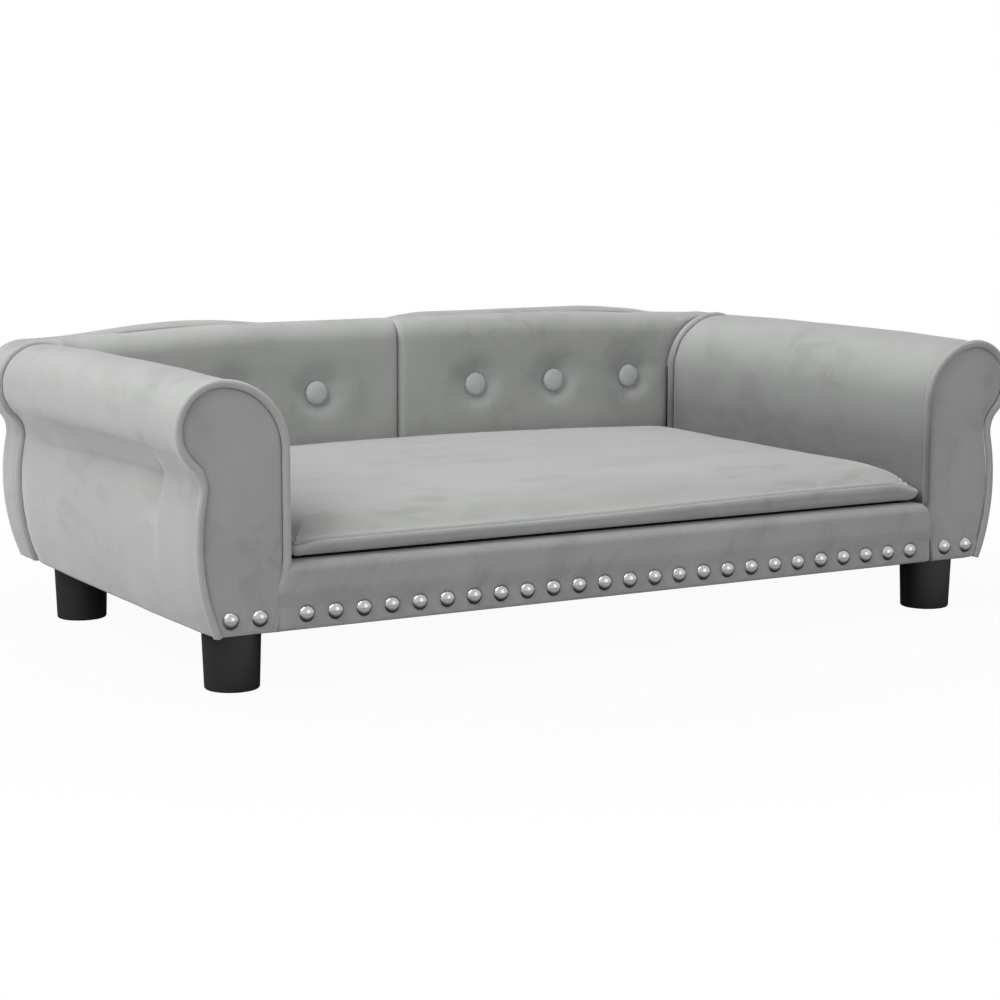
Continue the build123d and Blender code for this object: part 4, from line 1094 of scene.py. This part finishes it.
def fill_out(points, faces):
    """Return how far each point moves when the form is blown up as cloth, in millimetres."""
    # A coarse copy is simulated, and its moves are read back at the fine points
    scene = bpy.context.scene
    mesh = bpy.data.meshes.new("cushion_trial")
    mesh.from_pydata([tuple(p) for p in points * MM], [], faces)
    trial = bpy.data.objects.new("cushion_trial", mesh)
    scene.collection.objects.link(trial)
    remesh = trial.modifiers.new("remesh", "REMESH")
    remesh.mode = "VOXEL"
    remesh.voxel_size = CLOTH_VOXEL * MM
    graph = bpy.context.evaluated_depsgraph_get()
    coarse = bpy.data.meshes.new_from_object(trial.evaluated_get(graph))
    bpy.data.objects.remove(trial)
    model = bpy.data.objects.new("cushion_model", coarse)
    scene.collection.objects.link(model)
    before = np.array([v.co for v in coarse.vertices]) / MM
    cloth = model.modifiers.new("cloth", "CLOTH")
    cloth.settings.use_pressure = True
    cloth.settings.uniform_pressure_force = CLOTH_PRESSURE
    cloth.settings.effector_weights.gravity = 0.0
    cloth.settings.quality = 5
    for step in range(1, CLOTH_FRAMES + 1):
        scene.frame_set(step)
    graph = bpy.context.evaluated_depsgraph_get()
    settled = bpy.data.meshes.new_from_object(model.evaluated_get(graph))
    after = np.array([v.co for v in settled.vertices]) / MM
    scene.frame_set(1)
    bpy.data.objects.remove(model)
    moved = after - before
    size = np.linalg.norm(moved, axis=1)
    moved *= (np.minimum(size, CLOTH_CAP) / np.maximum(size, 1e-9))[:, None]
    tree = kdtree.KDTree(len(before))
    for i, place in enumerate(before):
        tree.insert(Vector(place), i)
    tree.balance()
    result = np.zeros_like(points)
    for i, place in enumerate(points):
        found = tree.find_n(Vector(place), 8)
        weights = np.array([1 / (d + 1.5) ** 2 for _, _, d in found])
        result[i] = (moved[[j for _, j, _ in found]] * weights[:, None]).sum(0) / weights.sum()
    return result


class BED_OT_cushion(bpy.types.Operator):
    """Make the loose seat cushion, blown up as cloth"""

    bl_idname = "bed.cushion"
    bl_label = "Seat cushion"

    def execute(self, context):
        points, faces = cushion_shape(context.scene.bed_sizes)
        # Only the top takes up the moves, since arms and back hold the sides
        upper = smooth((points[:, 2] - CUSHION_SEAM_Z - 2) / 14.0)
        points = points + fill_out(points, faces) * upper[:, None] * [0.15, 0.15, 0.8]
        points[:, 0] = np.clip(points[:, 0], -CUSHION_HALF - 0.3, CUSHION_HALF + 0.3)
        piece = make_piece("cushion_cover", points, faces, "cushion_velvet", body="cushion")
        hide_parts("cushion_top_cover", "cushion_base_cover", "cushion_core")
        return {"FINISHED"}


class BED_OT_zip(bpy.types.Operator):
    """Make the cushion's zip, its tape and its coil of teeth"""

    bl_idname = "bed.zip"
    bl_label = "Zip"

    def execute(self, context):
        low, high = ZIP_LOW_Z + 0.3, ZIP_HIGH_Z - 0.3
        middle = (low + high) / 2
        boxes = [((-ZIP_HALF, ZIP_FACE_Y, low), (ZIP_HALF, ZIP_FACE_Y + 1.0, high))]
        # Coil teeth: one every 2 mm, slightly proud of the tape
        for x in np.arange(-ZIP_HALF + 2, ZIP_HALF - 2, 2.0):
            tooth = (x, ZIP_FACE_Y + 0.9, middle - 1.2), (x + 1.1, ZIP_FACE_Y + 1.4, middle + 1.2)
            boxes.append(tooth)
        quads = ((0, 1, 3, 2), (4, 6, 7, 5), (0, 4, 5, 1), (2, 3, 7, 6), (0, 2, 6, 4), (1, 5, 7, 3))
        points, faces = [], []
        for near, far in boxes:
            faces += [tuple(len(points) + i for i in quad) for quad in quads]
            xs, ys, zs = zip(near, far)
            points += [(x, y, z) for x in xs for y in ys for z in zs]
        piece = make_piece("zip_tape", np.array(points), faces, "nylon", "cushion")
        piece.data.polygons.foreach_set("use_smooth", [False] * len(piece.data.polygons))
        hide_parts("cushion_zip_tape")
        dress_node("cushion_zip_slider", "zinc")
        return {"FINISHED"}


class BED_OT_linings(bpy.types.Operator):
    """Stretch the cloths over the deck and under the frame"""

    bl_idname = "bed.linings"
    bl_label = "Deck cloth and dust cover"

    def execute(self, context):
        rows = (("deck_cloth", "deck_board", 0.35), ("dust_cover", "leg_front_left", 0.14))
        for node, held, wave in rows:
            low, high = (np.array(c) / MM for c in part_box(node))
            xs, ys = np.linspace(low[0], high[0], 90), np.linspace(low[1], high[1], 60)
            middle = (low[2] + high[2]) / 2
            grid = np.array([[(x, y, middle) for y in ys] for x in xs])
            inside = np.minimum(grid - low, high - grid)
            gap = np.minimum(inside[..., 0], inside[..., 1])
            grid[..., 2] += wave * lumps(grid, 45.0, 16) * smooth(gap / 25.0)
            points, faces = rings_to_faces(grid, False, caps=False)
            piece = make_piece(f"{node}_sheet", points, faces, "lining")
            thicken(piece, LINING_THICKNESS, 0)
            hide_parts(node)
        return {"FINISHED"}


class BED_OT_inside(bpy.types.Operator):
    """Finish the boards, their fixings and the ties inside the bed"""

    bl_idname = "bed.inside"
    bl_label = "Frame inside"

    def execute(self, context):
        by_slot = {
            "plywood": "plywood",
            "hardboard": "hardboard",
            "foam": "foam",
            "wadding": "foam",
            "zinc_plated_steel": "zinc",
            "twine": "twine",
        }
        for row in frame["record"]["subparts"]:
            finish = by_slot.get(row["material_slot"])
            if finish:
                dress_node(row["node"], finish)
        return {"FINISHED"}


class BED_OT_stage(bpy.types.Operator):
    """Set the floor, the lamps, the white surroundings and the camera"""

    bl_idname = "bed.stage"
    bl_label = "Stage"

    def execute(self, context):
        scene = context.scene
        scene.view_settings.view_transform = "Standard"
        mesh = bpy.data.meshes.new("floor")
        reach = 30
        outline = [(-reach, -reach, 0), (reach, -reach, 0), (reach, reach, 0), (-reach, reach, 0)]
        mesh.from_pydata(outline, [], [(0, 1, 2, 3)])
        floor = bpy.data.objects.new("floor", mesh)
        scene.collection.objects.link(floor)
        material, tree, output = new_material("white_paper_sweep")
        path = add_node(tree, "LightPath").outputs
        # Painted reflection: glossy rays see the floor in dark grey, so the bright metal shows a dark lower
        # part
        floor_and_reflection_tone = add_node(
            tree,
            "Mix",
            {0: path["Is Glossy Ray"], 6: linear("cacaca"), 7: linear("5c5c5c")},
            data_type="RGBA",
        )
        paint = add_node(tree, "BsdfDiffuse", {"Roughness": 1.0, "Color": floor_and_reflection_tone.outputs[2]})
        glow = add_node(tree, "Emission", {"Color": linear("ffffff"), "Strength": 1.0})
        # Away from the bed the sweep is pure white; near it a faint shadow stays
        place = add_node(tree, "TexCoord").outputs["Object"]
        away = add_node(tree, "VectorMath", {0: place}, operation="LENGTH").outputs["Value"]
        white = add_node(
            tree,
            "MapRange",
            {"From Min": 0.5, "From Max": 0.95, "To Min": 0.955, "To Max": 1.0, "Value": away},
            interpolation_type="SMOOTHSTEP",
        )
        seen = add_node(tree, "Math", {0: path["Is Camera Ray"], 1: white}, operation="MULTIPLY")
        # Painted shade in reflections: to glossy rays the floor is dark close under the rail and turns to
        # white glow further out
        axes = add_node(tree, "SeparateXYZ", {"Vector": place}).outputs
        far = add_node(
            tree,
            "MapRange",
            {"From Min": -0.279, "From Max": -0.375, "To Max": 0.58, "Value": axes["Y"]},
            interpolation_type="SMOOTHSTEP",
        )
        mirrored = add_node(tree, "Math", {0: path["Is Glossy Ray"], 1: far}, operation="MULTIPLY")
        share = add_node(tree, "Math", {0: seen, 1: mirrored}, operation="ADD", use_clamp=True)
        mix = add_node(tree, "MixShader", {0: share, 1: paint, 2: glow})
        tree.links.new(mix.outputs[0], output.inputs[0])
        mesh.materials.append(material)
        world = bpy.data.worlds.new("white_studio")
        scene.world = world
        world.use_nodes = True
        tree = world.node_tree
        tree.nodes.clear()
        output = add_node(tree, "OutputWorld")
        seen = add_node(tree, "Background", {"Color": linear("ffffff"), "Strength": 1.0})
        lit = add_node(tree, "Background", {"Color": linear("ffffff"), "Strength": 0.24})
        path = add_node(tree, "LightPath").outputs
        sharp = add_node(
            tree, "Math", {0: path["Is Camera Ray"], 1: path["Is Glossy Ray"]}, operation="MAXIMUM"
        )
        either = add_node(tree, "Math", {0: sharp, 1: path["Is Transmission Ray"]}, operation="MAXIMUM")
        mix = add_node(tree, "MixShader", {0: either, 1: lit, 2: seen})
        tree.links.new(mix.outputs[0], output.inputs[0])
        # Lamps: place, what they face, side in metres and power in watts
        lamps = (
            ("key_softbox", (-1.9, -0.1, 2.3), (0.05, 0.0, 0.15), 2.3, 70.0),
            ("top_softbox", (0.1, 0.3, 2.6), (0.0, 0.0, 0.1), 2.2, 14.0),
            ("front_fill", (0.6, -2.8, 1.1), (0.0, 0.0, 0.15), 1.8, 9.0),
        )
        for name, spot, target, size, power in lamps:
            lamp = bpy.data.lights.new(name, "AREA")
            lamp.shape = "SQUARE"
            lamp.size = size
            lamp.energy = power
            holder = bpy.data.objects.new(name, lamp)
            holder.location = spot
            aim = Vector(target) - Vector(spot)
            holder.rotation_euler = aim.to_track_quat("-Z", "Y").to_euler()
            scene.collection.objects.link(holder)
        camera = bpy.data.cameras.new("camera")
        camera.lens = 88.176
        camera.sensor_width = 36.0
        holder = bpy.data.objects.new("camera", camera)
        holder.location = (-1.2845, -2.2523, 0.4946)
        holder.rotation_euler = (math.radians(90 - 8.327), 0, -math.radians(29.851))
        scene.collection.objects.link(holder)
        scene.camera = holder
        return {"FINISHED"}


class BED_PT_panel(bpy.types.Panel):
    """Lists the sizes, the colours and the steps of the upholstery"""

    bl_idname = "BED_PT_panel"
    bl_label = "Dog Bed"
    bl_space_type = "VIEW_3D"
    bl_region_type = "UI"
    bl_category = "Dog Bed"

    def draw(self, context):
        for group in (context.scene.bed_sizes, context.scene.bed_colours):
            for name in group.__annotations__:
                self.layout.prop(group, name)
        for step in STEPS:
            self.layout.operator(step.bl_idname)


STEPS = (
    BED_OT_stage,
    BED_OT_inside,
    BED_OT_linings,
    BED_OT_arms,
    BED_OT_front_panels,
    BED_OT_piping,
    BED_OT_rail,
    BED_OT_nails,
    BED_OT_feet,
    BED_OT_back_pads,
    BED_OT_buttons,
    BED_OT_rear_cover,
    BED_OT_cushion,
    BED_OT_zip,
)
CLASSES = (BedColours, BedSizes) + STEPS + (BED_PT_panel,)


def register():
    """Register the classes and hang their settings on the scene."""
    for item in CLASSES:
        bpy.utils.register_class(item)
    bpy.types.Scene.bed_colours = bpy.props.PointerProperty(type=BedColours)
    bpy.types.Scene.bed_sizes = bpy.props.PointerProperty(type=BedSizes)


def unregister():
    """Take the settings and classes away again."""
    del bpy.types.Scene.bed_sizes
    del bpy.types.Scene.bed_colours
    for item in reversed(CLASSES):
        bpy.utils.unregister_class(item)


def main():
    """Build the bed."""
    register()
    for step in STEPS:
        prefix, name = step.bl_idname.split(".")
        getattr(getattr(bpy.ops, prefix), name)()
    bpy.context.view_layer.update()


if __name__ == "__main__":
    main()
